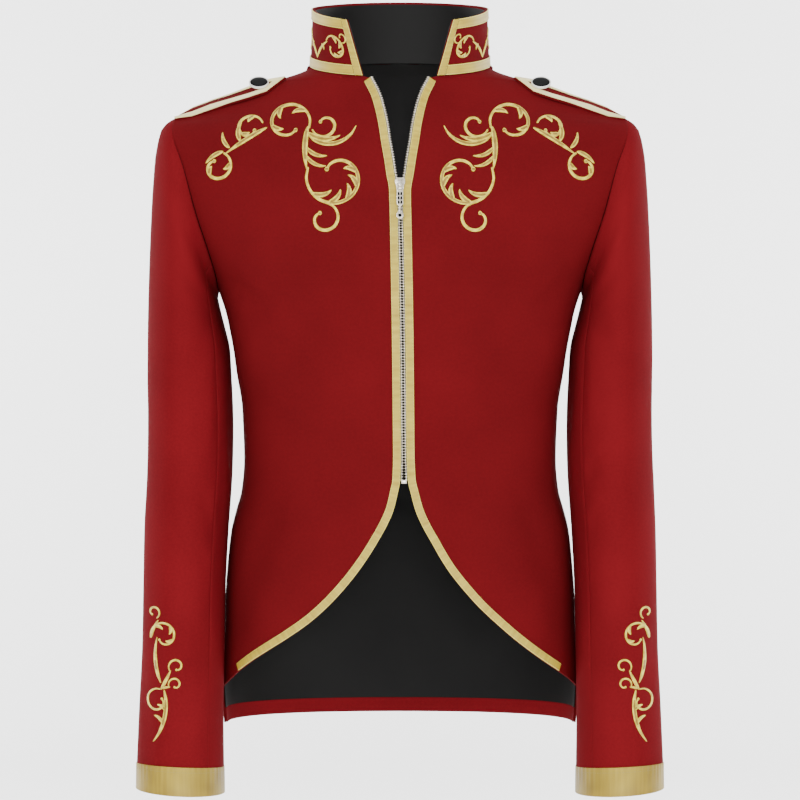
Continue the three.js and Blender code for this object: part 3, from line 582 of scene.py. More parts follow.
def cut_size(grid):
    """Width and length of the cloth that a grid is cut from, and its area, in metres."""
    u, v = distances(grid)
    a, b = np.diff(grid, axis=1)[:-1], np.diff(grid, axis=0)[:, :-1]
    area = np.linalg.norm(np.cross(a, b), axis=2).sum() * MM * MM
    width, length = u[:, -1].max() * MM, v.max() * MM
    return float(width), float(length), float(min(area, 0.999 * width * length))


def keep_sheet(name, mesh, nodes):
    """Keeps a mesh as a sheet of cloth."""
    piece = keep_piece(name, mesh, nodes=nodes)


def cloth_piece(name, grid, normals, flat, thickness, finishes, nodes, closed=False):
    """A panel of cloth as a thin wall on the inner side of its grid."""
    mesh = sewn_mesh(name, [wall(grid, grid - normals * thickness, flat, closed)], finishes)
    keep_sheet(name, mesh, nodes)


# %% [markdown]
# ## Finishes
# Cloth is told apart by its surface. A wool-like cloth has a short nap that blurs its weave and
# glows at grazing angles. Satin ribbon is smooth thread laid one way, so it shines in streaks;
# those streaks are painted sheen in its colour.
# A taffeta lining is a tight plain weave. Each finish reads its place from the flat pattern, in
# metres, so its threads keep their true size on every panel.

# %% Helpers for finishes
BAND = 0.314          # metres between the bands of a wave texture at scale 1


def flat_place(finish, stretch=(1, 1, 1)):
    """The place on the flat cloth, stretched so that a pattern can run one way."""
    uv = finish.add("UVMap", uv_map="cloth").outputs["UV"]
    return finish.add("Mapping", {"Vector": uv, "Scale": stretch}).outputs["Vector"]


def solid_place(finish, stretch=(1, 1, 1)):
    """The place in the piece itself, for hard parts that have no flat cloth."""
    place = finish.add("TexCoord").outputs["Object"]
    return finish.add("Mapping", {"Vector": place, "Scale": stretch}).outputs["Vector"]


def noise(finish, place, scale, detail=2.0):
    return finish.add("TexNoise", {"Vector": place, "Scale": scale, "Detail": detail}).outputs[0]


def threads(finish, place, period, direction, wobble=0.0):
    """Parallel threads, one every `period` metres."""
    wave = finish.add("TexWave", {"Vector": place, "Scale": BAND / period, "Distortion": wobble,
                                  "Detail": 1.0, "Detail Scale": 1.0},
                      bands_direction=direction)
    return wave.outputs["Fac"]


def blended(finish, first, second, share):
    """A number between two others, by a fixed share."""
    return finish.add("Mix", {0: share, 2: first, 3: second}, data_type="FLOAT").outputs[0]


def between(finish, share, low, high, start=0.3, end=0.7):
    """Stretches a pattern's middle range to a range of values."""
    return finish.add("MapRange", {"Value": share, "From Min": start, "From Max": end,
                                   "To Min": low, "To Max": high}).outputs["Result"]


def tones(finish, share, dark, light):
    return finish.add("Mix", {0: share, 6: dark, 7: light}, data_type="RGBA").outputs[2]


def bumped(finish, height, strength, depth):
    return finish.add("Bump", {"Height": height, "Strength": strength,
                               "Distance": depth}).outputs["Normal"]


# %% Napped red cloth
def napped_cloth(name, dark, light, glow):
    f = Finish(name)
    place = flat_place(f)
    cloud = noise(f, place, 9, 3.0)
    nap = blended(f, noise(f, place, 1400, 2.0), noise(f, place, 380, 2.0), 0.5)
    weave = blended(f, threads(f, place, 0.0009, "X"), threads(f, place, 0.0009, "Y"), 0.5)
    tone = blended(f, between(f, cloud, 0, 1), between(f, nap, 0, 1), 0.5)
    return f.done("BsdfPrincipled", {
        "Base Color": tones(f, tone, dark, light),
        "Roughness": 0.86,
        "Specular IOR Level": 0.03,
        "Sheen Weight": 0.01,
        "Sheen Roughness": 0.45,
        "Sheen Tint": glow,
        "Normal": bumped(f, blended(f, nap, weave, 0.45), 0.35, 0.00025)})


RED_GLOW = (0.6, 0.02, 0.03, 1)
RED = napped_cloth("red_cloth", (0.084, 0.0036, 0.0052, 1), (0.134, 0.0058, 0.0084, 1), RED_GLOW)
# A lighter copy of the red cloth, as painted light: the sleeves and the hem facing show brighter
# than the fronts.
RED_PAINTED_LIGHTER = napped_cloth("red_cloth_painted_lighter", (0.104, 0.0044, 0.0066, 1),
                           (0.166, 0.0072, 0.0108, 1), RED_GLOW)


# %% Taffeta lining
def taffeta(name, dark, light):
    f = Finish(name)
    place = flat_place(f)
    cloud = noise(f, place, 7, 2.0)
    ribs = threads(f, place, 0.0007, "Y")
    weave = blended(f, ribs, threads(f, place, 0.0007, "X"), 0.35)
    return f.done("BsdfPrincipled", {
        "Base Color": tones(f, between(f, cloud, 0, 1), dark, light),
        "Roughness": 0.6,
        "Specular IOR Level": 0.14,
        "Sheen Weight": 0.02,
        "Sheen Roughness": 0.4,
        "Normal": bumped(f, weave, 0.25, 0.00015)})


LINING = taffeta("black_lining", (0.0028, 0.0026, 0.0025, 1), (0.0056, 0.0053, 0.0049, 1))


# %% Satin ribbon
def satin(name, dark, light, streak, streaks=0.6, cloud=60, period=0.0006):
    """Satin with its face threads along `streak`, "X" or "Y" of the flat cloth.

    Its colour has streaks of painted sheen along the threads; `streaks` is their share.
    """
    f = Finish(name)
    stretch = (14, 260, 1) if streak == "X" else (260, 14, 1)
    # Painted sheen: long streaks along the threads, used in the colour and also in the bump.
    sheen_streaks = noise(f, flat_place(f, stretch), 1.0, 3.0)
    place = flat_place(f)
    slow = noise(f, place, cloud, 2.0)
    laid = threads(f, place, period, "Y" if streak == "X" else "X", 0.4)
    tone = blended(f, between(f, sheen_streaks, 0, 1), between(f, slow, 0, 1), 1 - streaks)
    return f.done("BsdfPrincipled", {
        "Base Color": tones(f, tone, dark, light),
        "Roughness": 0.42,
        "Specular IOR Level": 0.4,
        "Anisotropic": 0.5,
        "Sheen Weight": 0.04,
        "Sheen Roughness": 0.35,
        "Normal": bumped(f, blended(f, laid, sheen_streaks, 0.4), 0.4, 0.0002)})


GOLD = satin("gold_ribbon", (0.34, 0.23, 0.012, 1), (0.60, 0.46, 0.045, 1), "X")
SELVEDGE = satin("ribbon_selvedge", (0.62, 0.50, 0.07, 1), (0.86, 0.74, 0.15, 1), "X")
CUFF_SATIN = satin("cuff_ribbon", (0.17, 0.100, 0.004, 1), (0.47, 0.34, 0.032, 1), "Y",
                   streaks=0.25, cloud=22)
CREAM = satin("cream_ribbon", (0.82, 0.70, 0.28, 1), (0.98, 0.90, 0.46, 1), "X")


# %% Embroidery thread
def embroidery_thread(name, dark, light):
    """Satin stitches lie across each stroke, side by side along it."""
    f = Finish(name)
    place = flat_place(f)
    laid = threads(f, place, 0.0007, "X", 0.8)
    runs = noise(f, flat_place(f, (160, 320, 1)), 1.0, 2.0)
    tone = blended(f, between(f, runs, 0, 1, 0.38, 0.62), between(f, laid, 0, 1, 0.1, 0.7), 0.4)
    return f.done("BsdfPrincipled", {
        "Base Color": tones(f, tone, dark, light),
        "Roughness": 0.38,
        "Specular IOR Level": 0.45,
        "Sheen Weight": 0.04,
        "Sheen Roughness": 0.3,
        "Normal": bumped(f, blended(f, laid, runs, 0.3), 0.6, 0.0003)})


GOLD_THREAD = embroidery_thread("gold_thread", (0.36, 0.23, 0.010, 1), (0.98, 0.82, 0.09, 1))
GOLD_FILLING = embroidery_thread("gold_filling", (0.16, 0.085, 0.004, 1), (0.42, 0.27, 0.02, 1))


# %% Sewing thread
def sewing_thread(name, dark, light):
    f = Finish(name)
    tone = noise(f, solid_place(f), 2400, 1.0)
    return f.done("BsdfPrincipled", {
        "Base Color": tones(f, between(f, tone, 0, 1), dark, light),
        "Roughness": 0.5,
        "Specular IOR Level": 0.4,
        "Normal": bumped(f, tone, 0.4, 0.0001)})


GOLD_STITCH = sewing_thread("gold_stitch", (0.20, 0.14, 0.04, 1), (0.36, 0.28, 0.10, 1))
RED_STITCH = sewing_thread("red_stitch", (0.05, 0.0006, 0.0015, 1), (0.085, 0.001, 0.002, 1))


# %% Zip metal and button gloss
def worn_metal(name, dark, light, roughness):
    f = Finish(name)
    place = solid_place(f)
    scuffs = noise(f, place, 900, 3.0)
    wear = between(f, scuffs, roughness - 0.08, roughness + 0.14)
    return f.done("BsdfPrincipled", {
        "Base Color": tones(f, between(f, noise(f, place, 420, 2.0), 0, 1), dark, light),
        "Metallic": 1.0,
        "Roughness": wear,
        "Normal": bumped(f, scuffs, 0.2, 0.00008)})


def glossy_moulding(name, dark, light, roughness):
    f = Finish(name)
    place = solid_place(f)
    grain = noise(f, place, 700, 2.0)
    return f.done("BsdfPrincipled", {
        "Base Color": tones(f, between(f, grain, 0, 1), dark, light),
        "Roughness": between(f, grain, roughness - 0.04, roughness + 0.06),
        "Specular IOR Level": 0.08,
        "Normal": bumped(f, grain, 0.05, 0.0001)})


METAL = worn_metal("zip_metal", (0.52, 0.45, 0.36, 1), (0.94, 0.89, 0.78, 1), 0.3)
BUTTON_BLACK = glossy_moulding("button_black", (0.0010, 0.0010, 0.0011, 1),
                               (0.0022, 0.0022, 0.0024, 1), 0.34)
BUTTON_RIM = glossy_moulding("button_rim", (0.70, 0.69, 0.66, 1), (0.85, 0.84, 0.82, 1), 0.3)
print("finishes:", ", ".join(sorted(material.name for material in bpy.data.materials)))

# %% [markdown]
# ## Fronts
# Each front is one panel, from the shoulder down to the curved edge of the cut-away.

# %% Creases of the fronts
FRONT_CREASING = 1.7
FRONT_CREASES = table("x0 z0 x1 z1 depth width", [
    (100, -370, 146, -505, 1.1, 13),
    (128, -392, 160, -520, -0.9, 12),
    (60, -300, 30, -392, 0.6, 16),
    (168, -196, 118, -238, 1.6, 9),
    (166, -214, 128, -292, -1.1, 11),
    (150, -300, 96, -338, 0.9, 12),
    (70, -470, 40, -430, 0.5, 14),
    (146, -452, 150, -560, 0.7, 14),
    (40, -150, 52, -240, 0.5, 20),
    (176, -150, 138, -176, 0.9, 10),
])
FRONT_CREASES_OTHER = table("x0 z0 x1 z1 depth width", [
    (104, -378, 142, -500, 1.0, 12),
    (132, -398, 158, -512, -0.8, 13),
    (54, -310, 34, -396, 0.6, 15),
    (166, -198, 122, -232, 1.5, 10),
    (168, -216, 124, -300, -1.2, 12),
    (148, -308, 100, -334, 0.8, 11),
    (66, -462, 42, -420, 0.5, 13),
    (148, -446, 146, -548, 0.7, 15),
    (46, -160, 50, -250, 0.5, 19),
    (178, -156, 142, -178, 0.8, 9),
])

# %% The grid of a front
TRIM = {"width": 7.0, "lowest_z": -565, "lift": 0.3, "thickness": 0.8}
FRONT_HEIGHTS = [
    *spread(-580, (-545, 14), (-500, 16), (-386, 30), (ARMPIT_Z, 30)),
    *armhole_heights(34),
    *spread(SHOULDER_Z, (-18.6, 9)),
]
FRONT_NECK_TURNS = np.linspace(NECK_FIRST_TURN, 89, 17)
FRONT_ACROSS = 46
EDGE_START = (0, 0.5, 1.5, 3.5, 7.0, 9.0)


def front_edge(side):
    """Each row's height, and where it starts at the front edge or the neckline."""
    edge = [(z, along(FRONT_EDGE, z, "gap") + side * along(FRONT_EDGE, z, "middle"))
            for z in FRONT_HEIGHTS]
    neck = [(neck_front_z(t), NECK["half_width"] * math.sin(math.radians(t)))
            for t in FRONT_NECK_TURNS]
    return edge + neck


def centre_offset(z, half, start_x):
    """The distance over the cloth from the centre line to a row's start."""
    a, b, n = section(z, half)
    turns = np.linspace(0, row_span(z, half, start_x)[0], 60)
    x = a * powered(np.sin(turns), 2 / n)
    y = b * np.abs(np.cos(turns)) ** (2 / n)
    return float(np.sum(np.hypot(np.diff(x), np.diff(y)))) * (1 if start_x >= 0 else -1)


def front_grid(side):
    rows = [body_row(z, "front", x, lambda total: stations(total, FRONT_ACROSS, EDGE_START))
            for z, x in front_edge(side)]
    offsets = np.array([centre_offset(z, "front", x) for z, x in front_edge(side)])
    return np.array([points for points, _ in rows]), offsets


# %% Sew both fronts
def mirrored(grid):
    return grid * np.array([-1.0, 1.0, 1.0])


for side_name, side in SIDES.items():
    grid, offsets = front_grid(side)
    u, _ = distances(grid)
    seam = u[:, -1:] - u
    grid = without_ledge(grid, "front", seam)
    normals = grid_normals(grid, (0, -1, 0))
    creases = FRONT_CREASES if side < 0 else FRONT_CREASES_OTHER
    sink = rolled(seam) + FRONT_CREASING * creased(grid[..., [0, 2]], creases, seam)
    shaped = grid - normals * sink[..., None]
    flat = flat_of(grid, offsets)
    if side < 0:
        shaped, normals = mirrored(shaped), mirrored(normals)
    cloth_piece(f"front_{side_name}_cloth", shaped, normals, flat, CLOTH_DRAWN,
                [RED, LINING, RED], [f"front_{side_name}"])

# %% [markdown]
# ## Back
# The back is cut in one piece. Nobody sees it in a front view, but a coat is turned round and
# looked at, so it has its own soft folds at the waist and under the arms.

# %% Creases of the back
BACK_CREASING = 1.5
BACK_CREASES = table("x0 z0 x1 z1 depth width", [
    (150, -236, 92, -204, 1.5, 11),
    (-154, -240, -88, -212, 1.4, 12),
    (146, -262, 108, -330, -1.0, 13),
    (-148, -258, -112, -322, -1.1, 12),
    (-120, -372, 40, -382, 1.6, 11),
    (-30, -398, 128, -388, 1.5, 12),
    (-96, -408, 84, -412, -1.0, 10),
    (70, -430, 96, -560, 1.1, 17),
    (-64, -436, -92, -572, 1.2, 18),
    (6, -450, -10, -590, 0.9, 20),
    (132, -452, 142, -566, -0.8, 15),
    (-136, -446, -146, -580, -0.9, 15),
    (-44, -120, -84, -186, 0.6, 20),
    (50, -128, 80, -200, 0.6, 18),
])

# %% The grid of the back
BACK_HEIGHTS = [
    *spread(HEM_Z, (HEM_Z + 1, 1), (FACING_TOP_Z, 5), (-500, 20), (-386, 24), (ARMPIT_Z, 30)),
    *armhole_heights(34),
    *spread(SHOULDER_Z, (0, 14)),
]
BACK_NECK_TURNS = np.linspace(86, 0, 16)
BACK_ACROSS = 40


def back_grid():
    heights = BACK_HEIGHTS + [neck_back_z(t) - 0.02 for t in BACK_NECK_TURNS]
    rows = []
    for z in heights:
        half, _ = body_row(z, "back", 0, lambda total: stations(total, BACK_ACROSS, (0,)))
        rows.append(np.concatenate([mirrored(half[:0:-1]), half]))
    return np.array(rows)


back = back_grid()
u, v = distances(back)
edge_distance = np.minimum(u, u[:, -1:] - u)
back = without_ledge(back, "back", edge_distance)
back_normals = grid_normals(back, (0, 1, 0))
back_folds = BACK_CREASING * creased(back[..., [0, 2]], BACK_CREASES, edge_distance)
back_cloth = back - back_normals * (rolled(edge_distance) + back_folds)[..., None]
back_flat = flat_of(back, -u[:, u.shape[1] // 2])
cloth_piece("back_cloth", back_cloth, back_normals, back_flat, CLOTH_DRAWN, [RED] * 3,
            ["back"])

# %% [markdown]
# ## Inside the back
# Through the cut-away one looks at the dark lining. It hangs a little off the back and ends
# above the turned-up hem, which shows as a red strip.

# %% Lining and hem facing
LINING_LIE = {"inset": 2.8, "thickness": 0.8, "below_neck": 2.0}
FACING_THICKNESS = 0.9
LINING_CREASES = table("x0 z0 x1 z1 depth width", [
    (-120, -560, -60, -440, -1.0, 16),
    (-60, -585, -30, -430, 0.9, 15),
    (20, -590, 44, -440, -0.9, 17),
    (84, -584, 110, -452, 0.8, 14),
    (-140, -500, -150, -590, 0.7, 12),
])
facing_rows = [i for i, z in enumerate(BACK_HEIGHTS) if z <= FACING_TOP_Z + 0.01]
lining_rows = slice(len(facing_rows) - 1, None)
lining_sink = LINING_LIE["inset"] + back_folds
lining_sink += creased(back[..., [0, 2]], LINING_CREASES, edge_distance)
lining_grid = (back - back_normals * lining_sink[..., None])[lining_rows]
lining_grid[0, :, 2] += GAP
neck_part = np.clip((lining_grid[..., 2] + NECK["front_drop"]) / NECK["front_drop"], 0, None)
lining_grid[..., 2] -= LINING_LIE["below_neck"] * neck_part
cloth_piece("back_lining_cloth", lining_grid, back_normals[lining_rows], back_flat[lining_rows],
            LINING_LIE["thickness"], [LINING] * 3, ["back_lining"])
facing_grid = (back - back_normals * (CLOTH + GAP + back_folds)[..., None])[facing_rows]
# The hem facing takes the lighter red: painted light on this strip inside the back.
cloth_piece("back_hem_facing_cloth", facing_grid, back_normals[facing_rows],
            back_flat[facing_rows], FACING_THICKNESS, [RED_PAINTED_LIGHTER] * 3, ["back_hem_facing"])

# %% [markdown]
# ## Sleeves
# A sleeve is drawn from rings: each has an inner and an outer point, a middle and a depth.
# Smooth curves go through the rings from the armhole down to the wrist. Two seams cut the
# tube into a wide top sleeve and a narrow under sleeve, as in a tailored coat.

# %% Rings and the curves through them
def ring_points(row, turns):
    share = (1 - np.cos(turns)) / 2
    return np.column_stack([
        row["inner_x"] + (row["outer_x"] - row["inner_x"]) * share,
        row["middle"] - row["depth"] * np.sin(turns),
        row["inner_z"] + (row["outer_z"] - row["inner_z"]) * share])


def armhole_points(turns):
    """The armhole seam, round from the armpit: up the front and down the back."""
    half = (SHOULDER_Z - ARMPIT_Z) / 2
    z = ARMPIT_Z + half * (1 - np.cos(turns))
    x = np.array([along(ARMHOLE, value, "x") for value in z])
    reach = np.where(np.sin(turns) >= 0, ARMHOLE_REACH["front"], ARMHOLE_REACH["back"])
    return np.column_stack([x, -reach * np.sin(turns), z])


def smooth_through(points, places, wanted):
    """Points at the wanted places on smooth curves through rows of points."""
    slope = np.gradient(points, places, axis=0)
    i = np.clip(np.searchsorted(places, wanted, side="right") - 1, 0, len(places) - 2)
    step = (places[i + 1] - places[i])[:, None, None]
    u = ((wanted - places[i]) / (places[i + 1] - places[i]))[:, None, None]
    return (points[i] * (1 + 2 * u) * (1 - u) ** 2 + points[i + 1] * u * u * (3 - 2 * u)
            + step * (slope[i] * u * (1 - u) ** 2 - slope[i + 1] * u * u * (1 - u)))


def resample(line, places):
    """Points at given distances along a line, picked by a function of its length."""
    length = np.concatenate([[0], np.cumsum(np.linalg.norm(np.diff(line, axis=0), axis=1))])
    at = places(length[-1])
    return np.column_stack([np.interp(at, length, line[:, k]) for k in range(3)])


# %% Creases of the sleeves
# Across is the turn round the sleeve in degrees, made into millimetres by `SLEEVE_GIRTH`.
SLEEVE_GIRTH = 0.9
SLEEVE_CREASING = 1.5
# The left sleeve's creases are shortened upwards from this height, so the two sleeves differ.
SLEEVE_SHORTENED = {"right": 1.0, "left": 0.92}
CREASE_TOP_Z = -20
SLEEVE_CREASES = table("x0 z0 x1 z1 depth width", [
    (60, -250, 96, -330, 1.6, 12),
    (40, -262, 60, -372, -1.2, 11),
    (96, -392, 30, -420, 1.4, 9),
    (110, -424, 36, -446, -1.1, 9),
    (84, -452, 30, -470, 0.9, 8),
    (150, -560, 120, -640, 0.8, 12),
    (64, -560, 84, -640, 0.8, 11),
    (230, -250, 262, -350, 1.3, 13),
    (300, -380, 236, -404, 1.3, 10),
    (310, -428, 250, -440, -1.0, 9),
    (270, -540, 240, -630, 0.8, 13),
    (180, -300, 176, -420, 0.6, 16),
    (328, -300, 340, -400, 0.9, 10),
    (20, -300, 12, -390, 0.9, 10),
])

# %% A sleeve as one tube of rings
FINE_TURNS = np.radians(np.linspace(0, 360, 361))
SLEEVE_ROWS = 96


def sleeve_rings():
    control = [armhole_points(FINE_TURNS), *[ring_points(row, FINE_TURNS) for row in SLEEVE]]
    control = np.array(control)
    steps = np.linalg.norm(np.diff(control, axis=0), axis=2).mean(axis=1)
    places = np.concatenate([[0], np.cumsum(steps)])
    wanted = stations(places[-1], SLEEVE_ROWS, (0, 0.4, 1.0, 2.1, 3.7, 6.0), (0, 1.0, 3.0))
    return smooth_through(control, places, wanted), wanted


def sleeve_panel(rings, first, last, cells):
    """A panel between two turns, in degrees, with its turns and its points."""
    turns = np.arange(first, last + 1)
    grid = np.array([resample(ring[turns % 360], lambda total: stations(total, cells))
                     for ring in rings])
    u, _ = distances(grid)
    return grid, first + (last - first) * u / u[:, -1:]


rings, down = sleeve_rings()
for side_name, side in SIDES.items():
    for part, (first, last, cells) in {"top": (*SLEEVE_SEAMS, 74), "under": (-45, 45, 20)}.items():
        grid, turns = sleeve_panel(rings, first, last, cells)
        outwards = grid[len(grid) // 2, grid.shape[1] // 2] - rings[len(rings) // 2].mean(axis=0)
        normals = grid_normals(grid, outwards)
        u, _ = distances(grid)
        seam = np.minimum(u, u[:, -1:] - u)
        part_of = SLEEVE_SHORTENED[side_name]
        places = np.stack([(turns % 360) * SLEEVE_GIRTH, grid[..., 2]], axis=-1)
        creases = [{**c, "x0": c["x0"] * SLEEVE_GIRTH, "x1": c["x1"] * SLEEVE_GIRTH,
                    "z0": c["z0"] * part_of + CREASE_TOP_Z * (1 - part_of),
                    "z1": c["z1"] * part_of}
                   for c in SLEEVE_CREASES]
        sink = np.minimum(rolled(seam) + rolled(down)[:, None], ROLL["depth"])
        calm = np.minimum(seam, np.minimum(down, down[-1] - down)[:, None])
        sink = sink + SLEEVE_CREASING * creased(places, creases, calm)
        shaped = grid - normals * sink[..., None]
        flat = flat_of(grid, -u[:, u.shape[1] // 2])
        if side < 0:
            shaped, normals = mirrored(shaped), mirrored(normals)
        # The sleeves take the lighter red: painted light that makes them brighter than the fronts.
        cloth_piece(f"sleeve_{part}_{side_name}_cloth", shaped, normals, flat, CLOTH_DRAWN,
                    [RED_PAINTED_LIGHTER, LINING, RED_PAINTED_LIGHTER], [f"sleeve_{part}_{side_name}"])

# %% [markdown]
# ## Cuffs
# A satin ribbon goes round each sleeve end. It was sewn on a little loose, so it puckers.

# %% Cuff ribbons
PUCKER = {"count": 46, "depth": 0.35}
CUFF_LAP = {"up": 3.2, "out": 0.016}      # in front the ribbon laps over the sleeve's end
CUFF_TURNS = np.radians(np.linspace(0, 360, 241)[:-1])
CUFF_PLACES = np.array([0, 11.4, 23.3])       # the rings' distances down the cuff
CUFF_ROWS = 10
BESIDE_EDGE = (0, 0.5, 1.5)


def cuff_grid():
    control = np.array([ring_points(row, CUFF_TURNS) for row in CUFF])
    lap = np.clip(np.sin(CUFF_TURNS), 0, None)[:, None]
    middle = control[0].mean(axis=0)
    control[0] += lap * ((control[0] - middle) * CUFF_LAP["out"] + [0, 0, CUFF_LAP["up"]])
    down = stations(CUFF_PLACES[-1], CUFF_ROWS, BESIDE_EDGE, BESIDE_EDGE)
    return smooth_through(control, CUFF_PLACES, down)


for side_name, side in SIDES.items():
    grid = cuff_grid()
    middle = grid[len(grid) // 2]
    normals = grid_normals(grid, middle[len(middle) // 2] - middle.mean(axis=0))
    height = np.linspace(0, 1, len(grid))[:, None]
    wander = np.sin(3 * CUFF_TURNS + side) + 0.6 * np.sin(7 * CUFF_TURNS + 1.3 * side)
    ripple = np.sin(PUCKER["count"] * CUFF_TURNS + 1.5 * wander)
    sink = PUCKER["depth"] * (1 - height) ** 2 * ripple[None, :]
    shaped = grid - normals * sink[..., None]
    flat = flat_of(grid, closed=True)
    if side < 0:
        shaped, normals = mirrored(shaped), mirrored(normals)
    cloth_piece(f"cuff_{side_name}_ribbon", shaped, normals, flat, CLOTH_DRAWN,
                [CUFF_SATIN, LINING, CUFF_SATIN], [f"cuff_{side_name}"], closed=True)

# %% [markdown]
# ## Collar
# The stand collar follows the neckline and rises to its rim. Its ribbons frame it.

# %% A point of the collar
COLLAR = {"half_width": 82, "front": 70, "back": 72, "height": 54, "front_drop": 22,
          "back_rise": 15, "end": 156, "top_end": 143.3, "band": 0.175, "end_band": 8,
          "base_slant": 0.6, "lift": 0.5}


def oval(turn, half_width, front, back, drop, rise, z):
    cosine = np.cos(np.radians(turn))
    reach = np.where(cosine < 0, front, back)
    lift = np.where(cosine < 0, drop, rise)
    return np.stack([half_width * np.sin(np.radians(turn)), cosine * reach, z + cosine * lift],
                    axis=-1)


def collar_points(turns, ups):
    """Points of the collar: turns in degrees from the back middle, ups from 0 to 1."""
    size = np.abs(turns)
    slant = (COLLAR["top_end"] - 90) / (COLLAR["end"] - 90)
    top = np.where(size <= 90, size, 90 + (size - 90) * slant)
    low = oval(size, NECK["half_width"], NECK["front"], NECK["back"], NECK["front_drop"],
               NECK["back_rise"], COLLAR["lift"])
    high = oval(top, COLLAR["half_width"], COLLAR["front"], COLLAR["back"],
                COLLAR["front_drop"], COLLAR["back_rise"], COLLAR["height"])
    points = low[None] + (high - low)[None] * np.asarray(ups)[:, None, None]
    points[..., 0] *= np.where(turns < 0, -1, 1)
    return points


# %% The collar's cloth and its lining
def on_collar(turns, ups, offset, slant=0.0):
    points = collar_points(turns, ups)
    middle = points[len(points) // 2, points.shape[1] // 2]
    normals = grid_normals(points, middle * [1, 1, 0])
    moved = points + normals * offset
    moved[0, :, 2] -= offset * slant
    return moved, normals


COLLAR_TURNS = np.linspace(-COLLAR["end"], COLLAR["end"], 157)
COLLAR_UPS = np.array([0, 0.02, 0.06, *np.linspace(0.12, 0.9, 12), 0.95, 0.985, 1])
# The lining's lower edge hides the neck seam; above its upper edge the turned-in cloth shows.
LINING_UPS = np.array([-0.14, -0.07, *COLLAR_UPS[:-3], 0.93, 0.957])
for name, ups, offset, thickness, finishes, slot in [
    ("collar", COLLAR_UPS, 0, 2.0, [RED, RED, RED], "red_cloth"),
    ("collar_lining", LINING_UPS, -CLOTH - GAP, 1.0, [LINING, LINING, LINING], "black_lining"),
]:
    outer, normals = on_collar(COLLAR_TURNS, ups, offset, COLLAR["base_slant"])
    inner, _ = on_collar(COLLAR_TURNS, ups, offset - thickness, COLLAR["base_slant"])
    mesh = sewn_mesh(f"{name}_cloth", [wall(outer, inner, flat_of(outer))], finishes)
    keep_sheet(f"{name}_cloth", mesh, [name])

# %% [markdown]
# ## Ribbons
# Satin ribbon runs down each front edge and frames the collar. A ribbon is a thin strip whose
# sides are pressed down by its stitching, so its middle stands a little prouder.

# %% A ribbon on any strip of points
RIBBON_SHARES = np.array([0, 0.03, 0.09, 0.18, 0.35, 0.5, 0.65, 0.82, 0.91, 0.97, 1])
RIBBON_CROWN = 0.28
RIBBON_THICKNESS = 0.55
NARROWEST = 0.0101      # a sheet's narrowest width, in metres
SELVEDGE_CELLS = 2      # the paler woven edges, in cells across the ribbon
STITCHED = (2, -3)      # the columns across a ribbon that are stitched down
SEAM_LINES = []         # lines that get stitches: their points, and the way the cloth faces


def ribbon_piece(name, grid, normals, lift, finish, nodes, crown_axis=1):
    """A ribbon lying on a strip; its width runs along `crown_axis` of the grid."""
    crown = RIBBON_CROWN * (1 - np.abs(2 * RIBBON_SHARES - 1) ** 6)
    crown = crown[None, :] if crown_axis == 1 else crown[:, None]
    top = grid + normals * (lift + RIBBON_THICKNESS + crown)[..., None]
    under = grid + normals * lift
    points, faces, corners, kinds = wall(top, under, flat_of(grid))
    rows, cells = grid.shape[0] - 1, grid.shape[1] - 1
    for i in range(rows):
        for j in range(cells):
            place, last = (j, cells - 1) if crown_axis == 1 else (i, rows - 1)
            if place < SELVEDGE_CELLS or place > last - SELVEDGE_CELLS:
                kinds[outer_face(i, j, cells)] = 3
    mesh = sewn_mesh(name, [(points, faces, corners, kinds)], [finish] * 3 + [SELVEDGE])
    across, length, area = cut_size(grid)
    width, length = max(min(across, length), NARROWEST), max(across, length)
    keep_sheet(name, mesh, nodes)
    for place in STITCHED:
        SEAM_LINES.append((np.take(top, place, crown_axis), np.take(normals, place, crown_axis)))


# %% Ribbons down the front edges
def edge_strip(side, shares, width):
    """A strip along a front edge, with every row square to the edge."""
    creases = FRONT_CREASES if side < 0 else FRONT_CREASES_OTHER
    rows = [(z, x) for z, x in front_edge(side) if TRIM["lowest_z"] < z < neck_front_z(0) + 1e-6]
    starts = [body_row(z, "front", x, lambda total: np.array([0, 1.0]))[0] for z, x in rows]
    strip = []
    for i, (z, x) in enumerate(rows):
        edge = starts[min(i + 1, len(rows) - 1)][0] - starts[max(i - 1, 0)][0]
        inwards = starts[i][1] - starts[i][0]
        lean = edge @ inwards / (np.linalg.norm(edge) * np.linalg.norm(inwards))
        row = []
        for reach in shares * width:
            height, away = z - reach * lean, reach * math.sqrt(1 - lean ** 2)
            row.append(body_row(height, "front", x, lambda total: np.array([0, away]))[0][1])
        strip.append(row)
    strip = np.array(strip)
    normals = grid_normals(strip, (0, -1, 0))
    sink = FRONT_CREASING * creased(strip[..., [0, 2]], creases)
    strip = strip - normals * sink[..., None]
    return (mirrored(strip), mirrored(normals)) if side < 0 else (strip, normals)


for side_name, side in SIDES.items():
    strip, normals = edge_strip(side, RIBBON_SHARES, TRIM["width"])
    ribbon_piece(f"front_ribbon_{side_name}", strip, normals, TRIM["lift"], GOLD,
                 [f"front_trim_{side_name}"])
print("front ribbons:", round(float(distances(strip)[1].max())), "mm long")

